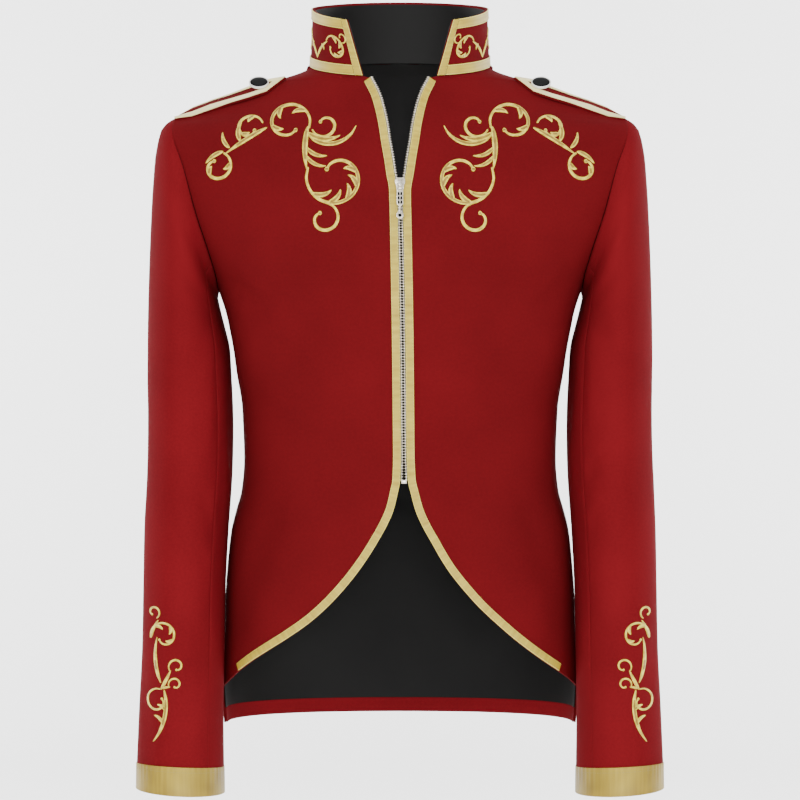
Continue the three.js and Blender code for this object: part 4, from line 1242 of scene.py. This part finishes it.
# %% Ribbons of the collar
END_TURN = COLLAR["end"] - math.degrees(COLLAR["end_band"] / NECK["half_width"])
BAND_TURNS = np.linspace(-(END_TURN - 0.2), END_TURN - 0.2, 181)
RIBBON_LIE = 0.4
for name, low, high in [("base", 0, COLLAR["band"]), ("rim", 1 - COLLAR["band"], 1)]:
    ups = low + (high - low) * RIBBON_SHARES
    points, normals = on_collar(BAND_TURNS, ups, 0)
    ribbon_piece(f"collar_ribbon_{name}", points, normals, RIBBON_LIE, GOLD,
                 [f"collar_trim_{name}"], crown_axis=0)
for side_name, side in SIDES.items():
    turns = END_TURN + (COLLAR["end"] - END_TURN) * RIBBON_SHARES
    points, normals = on_collar(side * turns, np.linspace(0, 1, 24), 0)
    ribbon_piece(f"collar_ribbon_end_{side_name}", points, normals, RIBBON_LIE, GOLD,
                 [f"collar_trim_end_{side_name}"])

# %% [markdown]
# ## Needlework
# The scrolls are satin stitch: threads laid side by side across a narrow shape, over padding,
# so each stroke stands proud with a rounded back. A stroke is a smooth line with a width that
# swells and fades. It is drawn flat, then dropped on to the cloth from the front.

# %% From a drawn stroke to a padded band
ACROSS = np.array([-1, -0.82, -0.45, 0, 0.45, 0.82, 1])
STITCH_STEP = 0.9
ROUND_END = 0.7
FILLED_FROM = 3.1      # wider strokes show a darker filling between two pale outlines
FALL = 0.92            # how far the padding falls off from the middle to the edges
PADDING = {"base": 0.18, "share": 0.2, "most": 0.85}
THREAD_LIE = {"under": 0.04, "top": 0.06}     # above the cloth, so that no faces coincide
THINNEST = 0.5


def smooth_line(knots):
    """A smooth line through knots of place and width."""
    knots = np.array(knots, dtype=float)
    places = np.concatenate([[0], np.cumsum(np.linalg.norm(np.diff(knots[:, :2], axis=0), axis=1))])
    wanted = np.linspace(0, places[-1], max(int(places[-1] / STITCH_STEP), 5) + 1)
    return smooth_through(knots[:, None, :], places, wanted)[:, 0], wanted


def band(knots):
    """The drawn band of a stroke: points across each place, heights, and flat places."""
    line, places = smooth_line(knots)
    way = np.gradient(line[:, :2], axis=0)
    way /= np.linalg.norm(way, axis=1, keepdims=True)
    square = np.column_stack([-way[:, 1], way[:, 0]])
    width = np.maximum(line[:, 2], THINNEST)
    to_end = np.minimum(places, places[-1] - places) + 0.02
    width = width * np.sqrt(np.clip(to_end / np.minimum(width / 2, ROUND_END), 0, 1))
    half = width[:, None] / 2 * ACROSS
    drawn = line[:, None, :2] + square[:, None] * half[..., None]
    rise = np.minimum(PADDING["base"] + PADDING["share"] * width, PADDING["most"])
    height = rise[:, None] * np.sqrt(1 - FALL * ACROSS ** 2)
    flat = np.stack([np.repeat(places[:, None], len(ACROSS), axis=1), half], axis=-1)
    return drawn, height, flat


def embroider(name, strokes, lay):
    """All strokes of a motif as one piece; `lay` drops drawn points on to the cloth."""
    walls = []
    cells = len(ACROSS) - 1
    for knots in strokes:
        drawn, height, flat = band(knots)
        points, normals = lay(drawn.reshape(-1, 2))
        if points is None:
            continue
        shape = (*drawn.shape[:2], 3)
        points, normals = points.reshape(shape), normals.reshape(shape)
        top = points + normals * (THREAD_LIE["top"] + height)[..., None]
        under = points + normals * THREAD_LIE["under"]
        points, faces, corners, kinds = wall(top, under, flat)
        wide = flat[:, -1, 1] - flat[:, 0, 1] > FILLED_FROM
        for i in np.flatnonzero(wide[:-1] & wide[1:]):
            for j in (cells // 2 - 1, cells // 2):
                kinds[outer_face(i, j, cells)] = 3
        walls.append((points, faces, corners, kinds))
    mesh = sewn_mesh(name, walls, [GOLD_THREAD] * 3 + [GOLD_FILLING], sharp=70)
    keep_piece(name, mesh)
    print(f"{name}: {len(walls)} strokes, {len(mesh.polygons)} faces")


# %% Dropping drawn points on to cloth
BACKWARDS = Vector((0, 1, 0))


def cloth_below(*names):
    """A search tree over the outer faces of some pieces."""
    points, faces = [], []
    for name in names:
        mesh = PIECES[name].data
        first = len(points)
        points += [tuple(vertex.co) for vertex in mesh.vertices]
        faces += [[first + k for k in face.vertices] for face in mesh.polygons
                  if face.material_index == 0]
    return BVHTree.FromPolygons(points, faces)


def dropped(tree, origin, side):
    """A way of laying drawn points, from their origin, straight back on to the cloth."""
    def lay(drawn):
        hits = []
        for x, z in drawn:
            start = Vector((side * (origin[0] + x), 0, origin[1] + z)) * MM - BACKWARDS
            place, normal, _, _ = tree.ray_cast(start, BACKWARDS)
            if place is None:
                return None, None
            hits.append((place, normal if normal.dot(BACKWARDS) < 0 else -normal))
        return (np.array([h[0] for h in hits]) / MM, np.array([h[1] for h in hits]))
    return lay


def sew_scroll(place, side_name, strokes, fork, cloths):
    """A scroll drawn round its fork as on the right side; the left one is its mirror image."""
    strokes = [[(-x, z, width) for x, z, width in knots] for knots in strokes]
    lay = dropped(cloth_below(*cloths), fork, SIDES[side_name])
    embroider(f"{place}_scroll_{side_name}", strokes, lay)


# %% [markdown]
# ### Scrolls drawn by rule
# A leaf scroll needs two shapes only. A curl is a line that winds in round a centre and ends in
# a bud. A leaf is a bent line that swells and comes to a point; leaves spring from the inner
# side of a curl, one after another. So each scroll is a short table of curls and of leaves.

# %% Curls, leaves and buds
# Angles are in degrees, from the drawn X axis towards Z. A curl's `tight` is the share of its
# radius that is left at its inner end.
CURL = "x z radius start sweep tight width leaves"
LEAF = "x z heading length bend width"
BUD_TURNS = (12, 45, 70, 90, 110, 135, 168)
WINDING = 1.6           # above 1, a curl winds in late
CURL_STEP = 24
CURL_SWELL = (0.6, 0.4)         # the shares of the width at the ends, and added in the middle
LEAF_STEPS = 6
LEAF_SHAPE = {"root": 0.4, "thin": 0.8, "swell_from": 0.15}
SPRUNG = {"first": 0.16, "along": 0.46, "lean": 18, "bend": 78, "length": 0.72, "shorter": 0.05,
          "width": 1.15}        # leaves that spring from a curl, as shares of it
BUD_SHARE = 0.62


def dot(x, z, radius):
    """A round bud, as a stroke whose width swells and fades like a circle."""
    turns = [math.radians(t) for t in BUD_TURNS]
    return [(x - radius * math.cos(t), z, 2 * radius * math.sin(t)) for t in turns]


def on_curl(curl, share):
    """A place on a curl and its line's heading there, in degrees."""
    turn = curl["start"] + curl["sweep"] * share
    reach = curl["radius"] * (1 - (1 - curl["tight"]) * share ** WINDING)
    x = curl["x"] + reach * math.cos(math.radians(turn))
    z = curl["z"] + reach * math.sin(math.radians(turn))
    return x, z, turn + math.copysign(90, curl["sweep"])


def curl_line(curl):
    steps = max(int(abs(curl["sweep"]) / CURL_STEP), 4)
    ends, middle = CURL_SWELL
    shares = [k / steps for k in range(steps + 1)]
    return [(*on_curl(curl, s)[:2], curl["width"] * (ends + middle * math.sin(math.pi * s)))
            for s in shares]


def leaf_line(x, z, heading, length, bend, width):
    """A leaf from its root: it bends by an angle on its way and swells in the middle."""
    knots = [(x, z, LEAF_SHAPE["root"] * width)]
    first = LEAF_SHAPE["swell_from"]
    for k in range(1, LEAF_STEPS + 1):
        turn = math.radians(heading + bend * k / LEAF_STEPS)
        x += length / LEAF_STEPS * math.cos(turn)
        z += length / LEAF_STEPS * math.sin(turn)
        swell = math.sin(math.pi * (first + (1 - first) * k / LEAF_STEPS))
        knots.append((x, z, LEAF_SHAPE["thin"] + width * swell))
    return knots


def leaves_of(curl):
    """Leaves that spring from a curl's inner side and bend along with it."""
    inwards = math.copysign(1, curl["sweep"])
    strokes = []
    for k in range(curl["leaves"]):
        share = SPRUNG["first"] + SPRUNG["along"] * k / max(curl["leaves"] - 1, 1)
        x, z, heading = on_curl(curl, share)
        length = curl["radius"] * (SPRUNG["length"] - SPRUNG["shorter"] * k)
        strokes.append(leaf_line(x, z, heading + SPRUNG["lean"] * inwards, length,
                                 SPRUNG["bend"] * inwards, curl["width"] * SPRUNG["width"]))
    return strokes


def scroll(curls, leaves):
    """All strokes of a scroll."""
    strokes = [leaf_line(**leaf) for leaf in leaves]
    for curl in curls:
        x, z, _ = on_curl(curl, 1)
        strokes += [curl_line(curl), *leaves_of(curl), dot(x, z, curl["width"] * BUD_SHARE)]
    return strokes


# %% [markdown]
# ### The chest scrolls
# A large curl sweeps up over the fork and another winds up below it. A tail hangs from the
# lower one, and an arm with two small curls reaches towards the shoulder.

# %% Curls and leaves of the chest scroll
CHEST_SCROLL = scroll(
    table(CURL, [
        (-18, 6, 20, -18, 330, 0.5, 3.2, 3),
        (26, -46, 27, 160, 340, 0.4, 3.4, 5),
        (15, -84, 14, 75, -310, 0.4, 3.0, 0),
        (15, 3, 12, 200, 300, 0.4, 2.8, 0),
        (-54, 2, 13, 20, 310, 0.4, 2.8, 2),
        (-84, -34, 14, 65, -310, 0.4, 3.0, 2),
    ]),
    table(LEAF, [
        (0, 2, -105, 42, 25, 4.2),
        (0, -6, -60, 54, 120, 3.2),
        (-1, -18, -65, 22, 70, 3.0),
        (-1, -26, -70, 22, 70, 2.8),
        (0, -4, -50, 32, 75, 4.4),
        (-38, 2, 208, 46, 8, 3.4),
        (-62, -11, 130, 20, -70, 3.4),
        (-72, -17, 150, 18, -60, 3.0),
        (-78, -20, 190, 20, 40, 3.2),
    ]))

# %% Sew the chest scrolls on both fronts
CHEST_FORK = (84, -66)
for side_name in SIDES:
    sew_scroll("chest", side_name, CHEST_SCROLL, CHEST_FORK, [f"front_{side_name}_cloth"])

# %% [markdown]
# ### The sleeve scrolls
# Each forearm has a smaller scroll that climbs from the cuff: a ring below, leaves at the fork
# and a ring above with a hook on top.

# %% Curls and leaves of the sleeve scroll
SLEEVE_SCROLL = scroll(
    table(CURL, [
        (11, 4, 13, 190, -330, 0.4, 2.0, 3),
        (1, 25, 6, -60, 290, 0.4, 1.8, 0),
        (6, -54, 11, 75, 310, 0.4, 2.0, 0),
        (23, -23, 7, 215, -300, 0.4, 1.9, 0),
        (22, -39, 6, 200, -300, 0.4, 1.8, 0),
    ]),
    table(LEAF, [
        (9, -38, 118, 42, -38, 2.4),
        (-1, 2, 85, 18, -30, 1.6),
        (9, -44, 60, 20, 5, 2.2),
        (10, -43, 25, 8, -20, 1.4),
        (12, -44, -70, 50, -55, 2.8),
        (15, -64, 110, 12, 60, 2.4),
        (11, -74, 105, 11, 60, 2.2),
    ]))
SLEEVE_FORK = (226, -533)
for side_name in SIDES:
    sew_scroll("sleeve", side_name, SLEEVE_SCROLL, SLEEVE_FORK,
               [f"sleeve_top_{side_name}_cloth", f"sleeve_under_{side_name}_cloth"])

# %% [markdown]
# ### The collar scrolls
# Round scrolls in mirrored pairs fill the band between the collar's ribbons. Here a drawn
# point needs no dropping: its place round the collar and up it gives the place on the cloth.

# %% Curls and leaves of one collar scroll
COLLAR_SCROLL = scroll(
    table(CURL, [
        (0, 0, 13, 150, -335, 0.4, 2.1, 4),
        (12, 12, 5.5, -125, 300, 0.4, 1.4, 0),
    ]),
    table(LEAF, [
        (-29, -13, 66, 28, -38, 1.9),
        (-20, 2, 10, 8, -110, 1.4),
    ]))

# %% Lay the collar scrolls in pairs
RINGS = {"from_end": (17, 71, 117, 171), "facing": (1, -1, 1, -1), "scale": 0.94, "lower": 3}
ring_turns = np.linspace(0, END_TURN, 400)
middle_line = collar_points(ring_turns, [0.5])[0]
ring_steps = np.linalg.norm(np.diff(middle_line, axis=0), axis=1)
ring_lengths = np.concatenate([[0], np.cumsum(ring_steps)])
collar_height = float(np.linalg.norm(np.diff(collar_points(np.array([130.0]), [0, 1]), axis=0)))
COLLAR_STEP = {"turn": 0.4, "up": 0.02}       # small steps that give the collar's slope


def collar_places(turns, ups):
    return np.array([collar_points(np.array([t]), [u])[0, 0] for t, u in zip(turns, ups)])


def laid_on_collar(centre, side):
    """Drawn points go along the collar's middle line and up it, from a ring's centre."""
    def lay(drawn):
        place = np.clip(ring_lengths[-1] - centre + drawn[:, 0], 0, ring_lengths[-1])
        turns = np.interp(place, ring_lengths, ring_turns)
        ups = 0.5 + drawn[:, 1] / collar_height
        low = collar_places(turns, ups)
        on = collar_places(turns + COLLAR_STEP["turn"], ups)
        up = collar_places(turns, ups + COLLAR_STEP["up"])
        normals = np.cross(on - low, up - low)
        normals /= np.linalg.norm(normals, axis=1, keepdims=True)
        normals *= np.sign(np.sum(normals * low * [1, 1, 0], axis=1))[:, None]
        if side < 0:
            low, normals = mirrored(low), mirrored(normals)
        return low, normals
    return lay


for side_name, side in SIDES.items():
    for number, (centre, facing) in enumerate(zip(RINGS["from_end"], RINGS["facing"])):
        scale = RINGS["scale"]
        strokes = [[(facing * x * scale, z * scale - RINGS["lower"], w) for x, z, w in knots]
                   for knots in COLLAR_SCROLL]
        embroider(f"collar_scroll_{side_name}_{number + 1}", strokes,
                  laid_on_collar(centre, side))

# %% [markdown]
# ## Straps and buttons
# A shoulder strap is a stiff tab edged with pale ribbon and held by one button. Its packed
# solid already has the true outline, so the finished strap is a copy of it with its edges
# rounded over; the button is turned on a lathe: a black dome held in a pale ring.

# %% Round the edges of a copied solid
ROUNDED_ABOVE = 40      # degrees between two faces, from which their edge is rounded
SMOOTH_BELOW = 60       # degrees up to which faces shade as one
BUTTON_SMOOTH_BELOW = 50


def copied_solid(node, round_off, finish, flat=True):
    """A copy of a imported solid, merged into one skin, with rounded edges."""
    work = bmesh.new()
    work.from_mesh(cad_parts[node].data)
    bmesh.ops.remove_doubles(work, verts=work.verts, dist=1e-6)
    bmesh.ops.dissolve_limit(work, angle_limit=math.radians(2), verts=work.verts,
                             edges=work.edges)
    edges = [e for e in work.edges
             if len(e.link_faces) == 2 and e.calc_face_angle() > math.radians(ROUNDED_ABOVE)]
    bmesh.ops.bevel(work, geom=edges, offset=round_off * MM, segments=2, profile=0.5,
                    affect="EDGES", clamp_overlap=True)
    bmesh.ops.triangulate(work, faces=[f for f in work.faces if len(f.verts) > 4])
    if flat:
        layout = work.loops.layers.uv.new("cloth")
        for face in work.faces:
            for loop in face.loops:
                loop[layout].uv = loop.vert.co.xy
    mesh = bpy.data.meshes.new(node)
    work.to_mesh(mesh)
    work.free()
    mesh.materials.append(finish)
    mesh.shade_smooth()
    mesh.set_sharp_from_angle(angle=math.radians(SMOOTH_BELOW))
    return mesh


# %% Straps with their ribbon
STRAP_ROUNDING = 0.25
STRAP_CUT = (0.030, 0.112, 0.0031)
STRAP_RIBBON_CUT = (NARROWEST, 0.246, 0.00197)
for side_name in SIDES:
    for node, name, finish, slot, cut in [
        ("strap", "cloth", RED, "red_cloth", STRAP_CUT),
        ("strap_trim", "ribbon", CREAM, "cream_ribbon", STRAP_RIBBON_CUT),
    ]:
        mesh = copied_solid(f"{node}_{side_name}", STRAP_ROUNDING, finish)
        keep_sheet(f"strap_{side_name}_{name}", mesh, [f"{node}_{side_name}"])

# %% Hard parts from rings of points
def tube_faces(count, rings):
    """Faces of a tube of rings that have `count` points each."""
    return [(i * count + k, i * count + (k + 1) % count,
             (i + 1) * count + (k + 1) % count, (i + 1) * count + k)
            for i in range(rings - 1) for k in range(count)]


def end_faces(count, rings):
    """The first and the last ring as flat faces, which close a tube."""
    last = (rings - 1) * count
    return [tuple(range(count))[::-1], tuple(range(last, last + count))]


def hard_mesh(name, points, faces, finish=None):
    """A mesh of points in millimetres, with one finish where it is given."""
    mesh = bpy.data.meshes.new(name)
    mesh.from_pydata((np.array(points) * MM).tolist(), [], faces)
    if finish:
        mesh.materials.append(finish)
    return mesh


# %% A button from its profile
# Both profiles are pairs of radius and height, from the axis out and back to it.
BUTTON_MIDDLE = 1.7     # the height of the button's middle in these profiles
RING_PROFILE = [(0, 0.0), (8.9, 0.0), (9.3, 0.5), (9.3, 1.9), (9.1, 2.4), (8.75, 2.6), (8.4, 2.4),
                (8.2, 1.9), (0, 1.9)]
DOME_PROFILE = [(0, 1.95), (8.1, 1.95), (8.1, 2.25), (7.8, 2.55), (6.6, 2.85), (4.8, 3.15),
                (2.4, 3.34), (0, 3.4)]


def turned(profile, count=48):
    """Points and faces of a profile turned round the Z axis; both ends close at the axis."""
    closed = [(r, z) for r, z in profile if r > 0]
    points = [(r * math.cos(2 * math.pi * k / count), r * math.sin(2 * math.pi * k / count), z)
              for r, z in closed for k in range(count)]
    faces = tube_faces(count, len(closed))
    low, high = len(points), len(points) + 1
    points += [(0, 0, profile[0][1]), (0, 0, profile[-1][1])]
    last = (len(closed) - 1) * count
    faces += [(low, (k + 1) % count, k) for k in range(count)]
    faces += [(high, last + k, last + (k + 1) % count) for k in range(count)]
    return points, faces


for side_name in SIDES:
    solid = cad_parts[f"button_{side_name}"].data
    corners = np.array([tuple(v.co) for v in solid.vertices]) / MM
    centre = (corners.min(axis=0) + corners.max(axis=0)) / 2
    _, _, ways = np.linalg.svd(corners - corners.mean(axis=0))
    axis = ways[2] * (1 if ways[2][2] > 0 else -1)
    turn = Vector(axis).to_track_quat("Z", "Y").to_matrix()
    for part, profile, finish in [("ring", RING_PROFILE, BUTTON_RIM),
                                  ("dome", DOME_PROFILE, BUTTON_BLACK)]:
        points, faces = turned(profile)
        placed = [turn @ Vector((x, y, z - BUTTON_MIDDLE)) + Vector(centre) for x, y, z in points]
        mesh = hard_mesh(f"button_{side_name}_{part}", placed, faces, finish)
        mesh.shade_smooth()
        mesh.set_sharp_from_angle(angle=math.radians(BUTTON_SMOOTH_BELOW))
        nodes = [f"button_{side_name}"] if part == "ring" else []
        keep_piece(f"button_{side_name}_{part}", mesh, nodes=nodes)
    print(f"button {side_name}: leans {math.degrees(math.acos(axis[2])):.0f} degrees")

# %% [markdown]
# ## The zip's head
# The slider, its pull tab and the bottom stop are die cast: small, with every edge rounded by
# the mould. Copies of their solids get those edges.

# %% Slider, pull tab and stop
for node, body, round_off in [("zip_slider", "coat", 0.22), ("zip_pull", "pull_tab", 0.16),
                              ("zip_stop", "coat", 0.2)]:
    mesh = copied_solid(node, round_off, METAL, flat=False)
    keep_piece(f"{node}_cast", mesh, body=body, nodes=[node])
    print(f"{node}: {len(mesh.polygons)} faces")

# %% [markdown]
# ### Painted shade in the pull
# The pull's openwork is backed by a dark plate, painted shade that stands in for the shade seen
# through its holes, so that the pattern reads from afar. It is a thin plate inside the pull's
# thickness and swings with it.

# %% The painted shade plate
ZIP_HEAD = {"z": -119.5, "tilt": 13.7, "bar_y": -4.1}
PAINTED_SHADE_PLATE = {"deep": (0.0, 0.4), "half_width": 2.3, "top": -8.3, "bottom": -20.1,
           "eye_z": -30.4, "eye_radius": 1.85, "eye_sides": 16}


def on_zip_head(x, y, z):
    """A place in the frame of the slider, which leans with the coat's front."""
    tilt = math.radians(ZIP_HEAD["tilt"])
    middle = along(FRONT_EDGE, ZIP_HEAD["z"], "middle")
    depth = along(BODY, ZIP_HEAD["z"], "front")
    return (middle + x, y * math.cos(tilt) + z * math.sin(tilt) - depth,
            z * math.cos(tilt) - y * math.sin(tilt) + ZIP_HEAD["z"])


def painted_shade_outlines():
    """The outlines of the painted shade in the openwork: the link's and the eye's, across and up.
    """
    half, low, high = (PAINTED_SHADE_PLATE[key] for key in ("half_width", "bottom", "top"))
    sides, radius = PAINTED_SHADE_PLATE["eye_sides"], PAINTED_SHADE_PLATE["eye_radius"]
    turns = [2 * math.pi * k / sides for k in range(sides)]
    eye = [(radius * math.cos(t), PAINTED_SHADE_PLATE["eye_z"] + radius * math.sin(t)) for t in turns]
    return [(-half, low), (half, low), (half, high), (-half, high)], eye


# A thin dark plate of painted shade, where the pull's holes would show shade.
points, faces = [], []
for outline in painted_shade_outlines():
    count, first = len(outline), len(points)
    points += [on_zip_head(x, ZIP_HEAD["bar_y"] + y, z)
               for y in PAINTED_SHADE_PLATE["deep"] for x, z in outline]
    faces += [[first + k for k in loop] for loop in tube_faces(count, 2) + end_faces(count, 2)]
mesh = hard_mesh("zip_pull_lacquer", points, faces, BUTTON_BLACK)
keep_piece("zip_pull_lacquer", mesh, body="pull_tab")
print("painted_shade:", len(mesh.polygons), "faces")

# %% [markdown]
# ## What repeats along a line
# Zip teeth and stitches are the same small shape again and again along a path. Geometry Nodes
# suit that: the path goes in, and its spacing, the shape and its finish are inputs. The tree
# turns each shape along the path and away from the cloth.

# %% A tree that repeats a shape along a line
def repeating_tree():
    tree = bpy.data.node_groups.new("repeat_along_line", "GeometryNodeTree")
    for name, kind in [("Line", "NodeSocketGeometry"), ("Shape", "NodeSocketObject"),
                       ("Spacing", "NodeSocketFloat"), ("Finish", "NodeSocketMaterial")]:
        tree.interface.new_socket(name=name, in_out="INPUT", socket_type=kind)
    tree.interface.new_socket(name="Repeated", in_out="OUTPUT", socket_type="NodeSocketGeometry")

    def add(kind, inputs=None, **settings):
        return add_node(tree, kind, inputs, **settings)

    given = add("NodeGroupInput").outputs
    path = add("GeometryNodeMeshToCurve", {"Mesh": given["Line"]}).outputs["Curve"]
    spaced = add("GeometryNodeResampleCurve", {"Curve": path, "Length": given["Spacing"]},
                 mode="LENGTH").outputs["Curve"]
    facing = add("GeometryNodeInputNamedAttribute", {"Name": "facing"},
                 data_type="FLOAT_VECTOR").outputs["Attribute"]
    tangent = add("GeometryNodeInputTangent").outputs["Tangent"]
    outwards = add("FunctionNodeAlignRotationToVector", {"Vector": facing}, axis="Z")
    turned_on = add("FunctionNodeAlignRotationToVector", {
        "Rotation": outwards.outputs["Rotation"], "Vector": tangent}, axis="X", pivot_axis="Z")
    shape = add("GeometryNodeObjectInfo", {"Object": given["Shape"]}).outputs["Geometry"]
    placed = add("GeometryNodeInstanceOnPoints", {
        "Points": spaced, "Instance": shape, "Rotation": turned_on.outputs["Rotation"]})
    real = add("GeometryNodeRealizeInstances", {"Geometry": placed.outputs["Instances"]})
    done = add("GeometryNodeSetMaterial", {
        "Geometry": real.outputs["Geometry"], "Material": given["Finish"]})
    add("NodeGroupOutput", {"Repeated": done.outputs["Geometry"]})
    return tree


REPEAT = repeating_tree()


# %% Use the tree and keep the plain mesh
def line_object(name, lines):
    """Lines of points as edges, each point with the way that the cloth faces there."""
    points = np.concatenate([line for line, _ in lines]) * MM
    facing = np.concatenate([way for _, way in lines])
    edges, count = [], 0
    for line, _ in lines:
        edges += [(count + k, count + k + 1) for k in range(len(line) - 1)]
        count += len(line)
    mesh = bpy.data.meshes.new(name)
    mesh.from_pydata(points.tolist(), edges, [])
    ways = mesh.attributes.new("facing", "FLOAT_VECTOR", "POINT")
    ways.data.foreach_set("vector", facing.ravel())
    return bpy.data.objects.new(name, mesh)


def small_shape(name, points, faces):
    mesh = hard_mesh(name, points, faces)
    mesh.shade_smooth()
    return bpy.data.objects.new(name, mesh)


def repeated(name, lines, shape, spacing, finish, nodes=()):
    """A piece of one small shape, set along lines at a spacing."""
    path = line_object(name, lines)
    bpy.context.collection.objects.link(path)
    bpy.context.collection.objects.link(shape)
    modifier = path.modifiers.new("repeat", "NODES")
    modifier.node_group = REPEAT
    sockets = {item.name: item.identifier for item in REPEAT.interface.items_tree
               if item.in_out == "INPUT"}
    modifier[sockets["Shape"]] = shape
    modifier[sockets["Spacing"]] = spacing * MM
    modifier[sockets["Finish"]] = finish
    ready = path.evaluated_get(bpy.context.evaluated_depsgraph_get())
    mesh = bpy.data.meshes.new_from_object(ready)
    mesh.name = name
    bpy.data.objects.remove(path)
    bpy.context.collection.objects.unlink(shape)
    keep_piece(name, mesh, nodes=nodes)
    print(f"{name}: {len(mesh.polygons)} faces")


# %% [markdown]
# ## Zip teeth
# Each side of the zip carries a row of small teeth. Above the slider the rows part and run up
# the open edges to the collar; below it they close head to head, and dark gaps stay between
# their narrow necks. Both rows take the same heights, so the gaps stay in step down to the stop.

# %% A tooth and its rows
TOOTH = {"base": 2.2, "head": 1.0, "neck": 0.7, "shoulder": 1.25, "neck_at": 1.4,
         "head_at": 1.75, "reach": 2.28, "spacing": 2.55, "thickness": 1.7}
TOOTH_LAYERS = ((-1, 0.86), (-0.7, 1), (0.7, 1), (1, 0.86))     # depth and size, as shares


def tooth_shape(side):
    """A tooth: X runs along the row and Y, times the side, from the tape to the other row."""
    depth = TOOTH["thickness"] / 2
    half_outline = [(TOOTH["base"] / 2, 0), (TOOTH["base"] / 2, TOOTH["shoulder"]),
                    (TOOTH["neck"] / 2, TOOTH["neck_at"]), (TOOTH["head"] / 2, TOOTH["head_at"]),
                    (TOOTH["head"] / 2, TOOTH["reach"])]
    outline = half_outline + [(-x, y) for x, y in reversed(half_outline)]
    outline = [(x, side * y) for x, y in outline]
    count, layers = len(outline), len(TOOTH_LAYERS)
    points = [(x * size, y, z * depth) for z, size in TOOTH_LAYERS for x, y in outline]
    faces = tube_faces(count, layers) + end_faces(count, layers)
    if side < 0:
        faces = [loop[::-1] for loop in faces]
    return small_shape(f"tooth_{side}", points, faces)


TEETH = {"from_edge": 0.3, "sunk": 0.9, "closed": (-386.1, -121), "open": (-118, -18.6)}


def teeth_line(side, low, high):
    """The line that a row of teeth stands on, and the way that they face."""
    line = []
    for z, x in front_edge(side):
        if low < z <= high + 1e-6:
            (start, further), _ = body_row(z, "front", x, lambda total: np.array([0, 1.0]))
            outwards = (start - further) / np.linalg.norm(start - further)
            line.append(start + outwards * TEETH["from_edge"] + np.array([0, TEETH["sunk"], 0]))
    line = mirrored(np.array(line)) if side < 0 else np.array(line)
    return line, np.repeat([[0.0, -1.0, 0.0]], len(line), axis=0)


# Half a tooth more in the count keeps it the same on both sides, whatever the last digits.
closed_line = teeth_line(1, *TEETH["closed"])[0]
closed_length = float(np.linalg.norm(np.diff(closed_line, axis=0), axis=1).sum())
tooth_pitch = closed_length / (round(closed_length / TOOTH["spacing"]) + 0.5)
for side_name, side in SIDES.items():
    lines = [teeth_line(side, *TEETH[part]) for part in ("closed", "open")]
    repeated(f"zip_teeth_{side_name}_row", lines, tooth_shape(side), tooth_pitch, METAL,
             nodes=[f"zip_teeth_{side_name}"])

# %% [markdown]
# ## Stitches
# The ribbons are topstitched along both sides. A stitch is a short thread that dips into the
# cloth at both ends, so its top is a low arch.

# %% A stitch
STITCH = {"length": 2.0, "width": 0.34, "height": 0.2, "spacing": 2.7, "hem_spacing": 3.3}
# Its rings, as shares of its length and size, and how high each one rises.
STITCH_RINGS = [(-0.5, 0.35, -0.12), (-0.3, 1, 0.06), (0, 1, 0.1), (0.3, 1, 0.06),
                (0.5, 0.35, -0.12)]
STITCH_SIDES = 6


def stitch_shape(name):
    turns = [2 * math.pi * k / STITCH_SIDES for k in range(STITCH_SIDES)]
    points = [(x * STITCH["length"], math.cos(t) * size * STITCH["width"] / 2,
               rise + math.sin(t) * size * STITCH["height"] / 2)
              for x, size, rise in STITCH_RINGS for t in turns]
    rings = len(STITCH_RINGS)
    faces = tube_faces(STITCH_SIDES, rings) + end_faces(STITCH_SIDES, rings)
    return small_shape(name, points, faces)


CUFF_SEAM_ROW = 3
ABOVE_CUFF, ABOVE_HEM = 0.12, 0.1       # how far stitches lie off the cloth
ring = cuff_grid()[CUFF_SEAM_ROW]
away = (ring - ring.mean(axis=0)) * [1, 1, 0]
away /= np.linalg.norm(away, axis=1, keepdims=True)
away = np.vstack([away, away[:1]])
line = np.vstack([ring, ring[:1]]) + away * ABOVE_CUFF
SEAM_LINES += [(mirrored(line), mirrored(away)), (line, away)]
repeated("ribbon_stitches", SEAM_LINES, stitch_shape("stitch"), STITCH["spacing"], GOLD_STITCH)

# %% The back hem's stitches
HEM_STITCH_Z = -606
hem_row = int(np.argmin(np.abs(np.array(BACK_HEIGHTS) - HEM_STITCH_Z)))
hem_line = back_cloth[hem_row] + back_normals[hem_row] * ABOVE_HEM
repeated("hem_stitches", [(hem_line, back_normals[hem_row])], stitch_shape("hem_stitch"),
         STITCH["hem_spacing"], RED_STITCH)
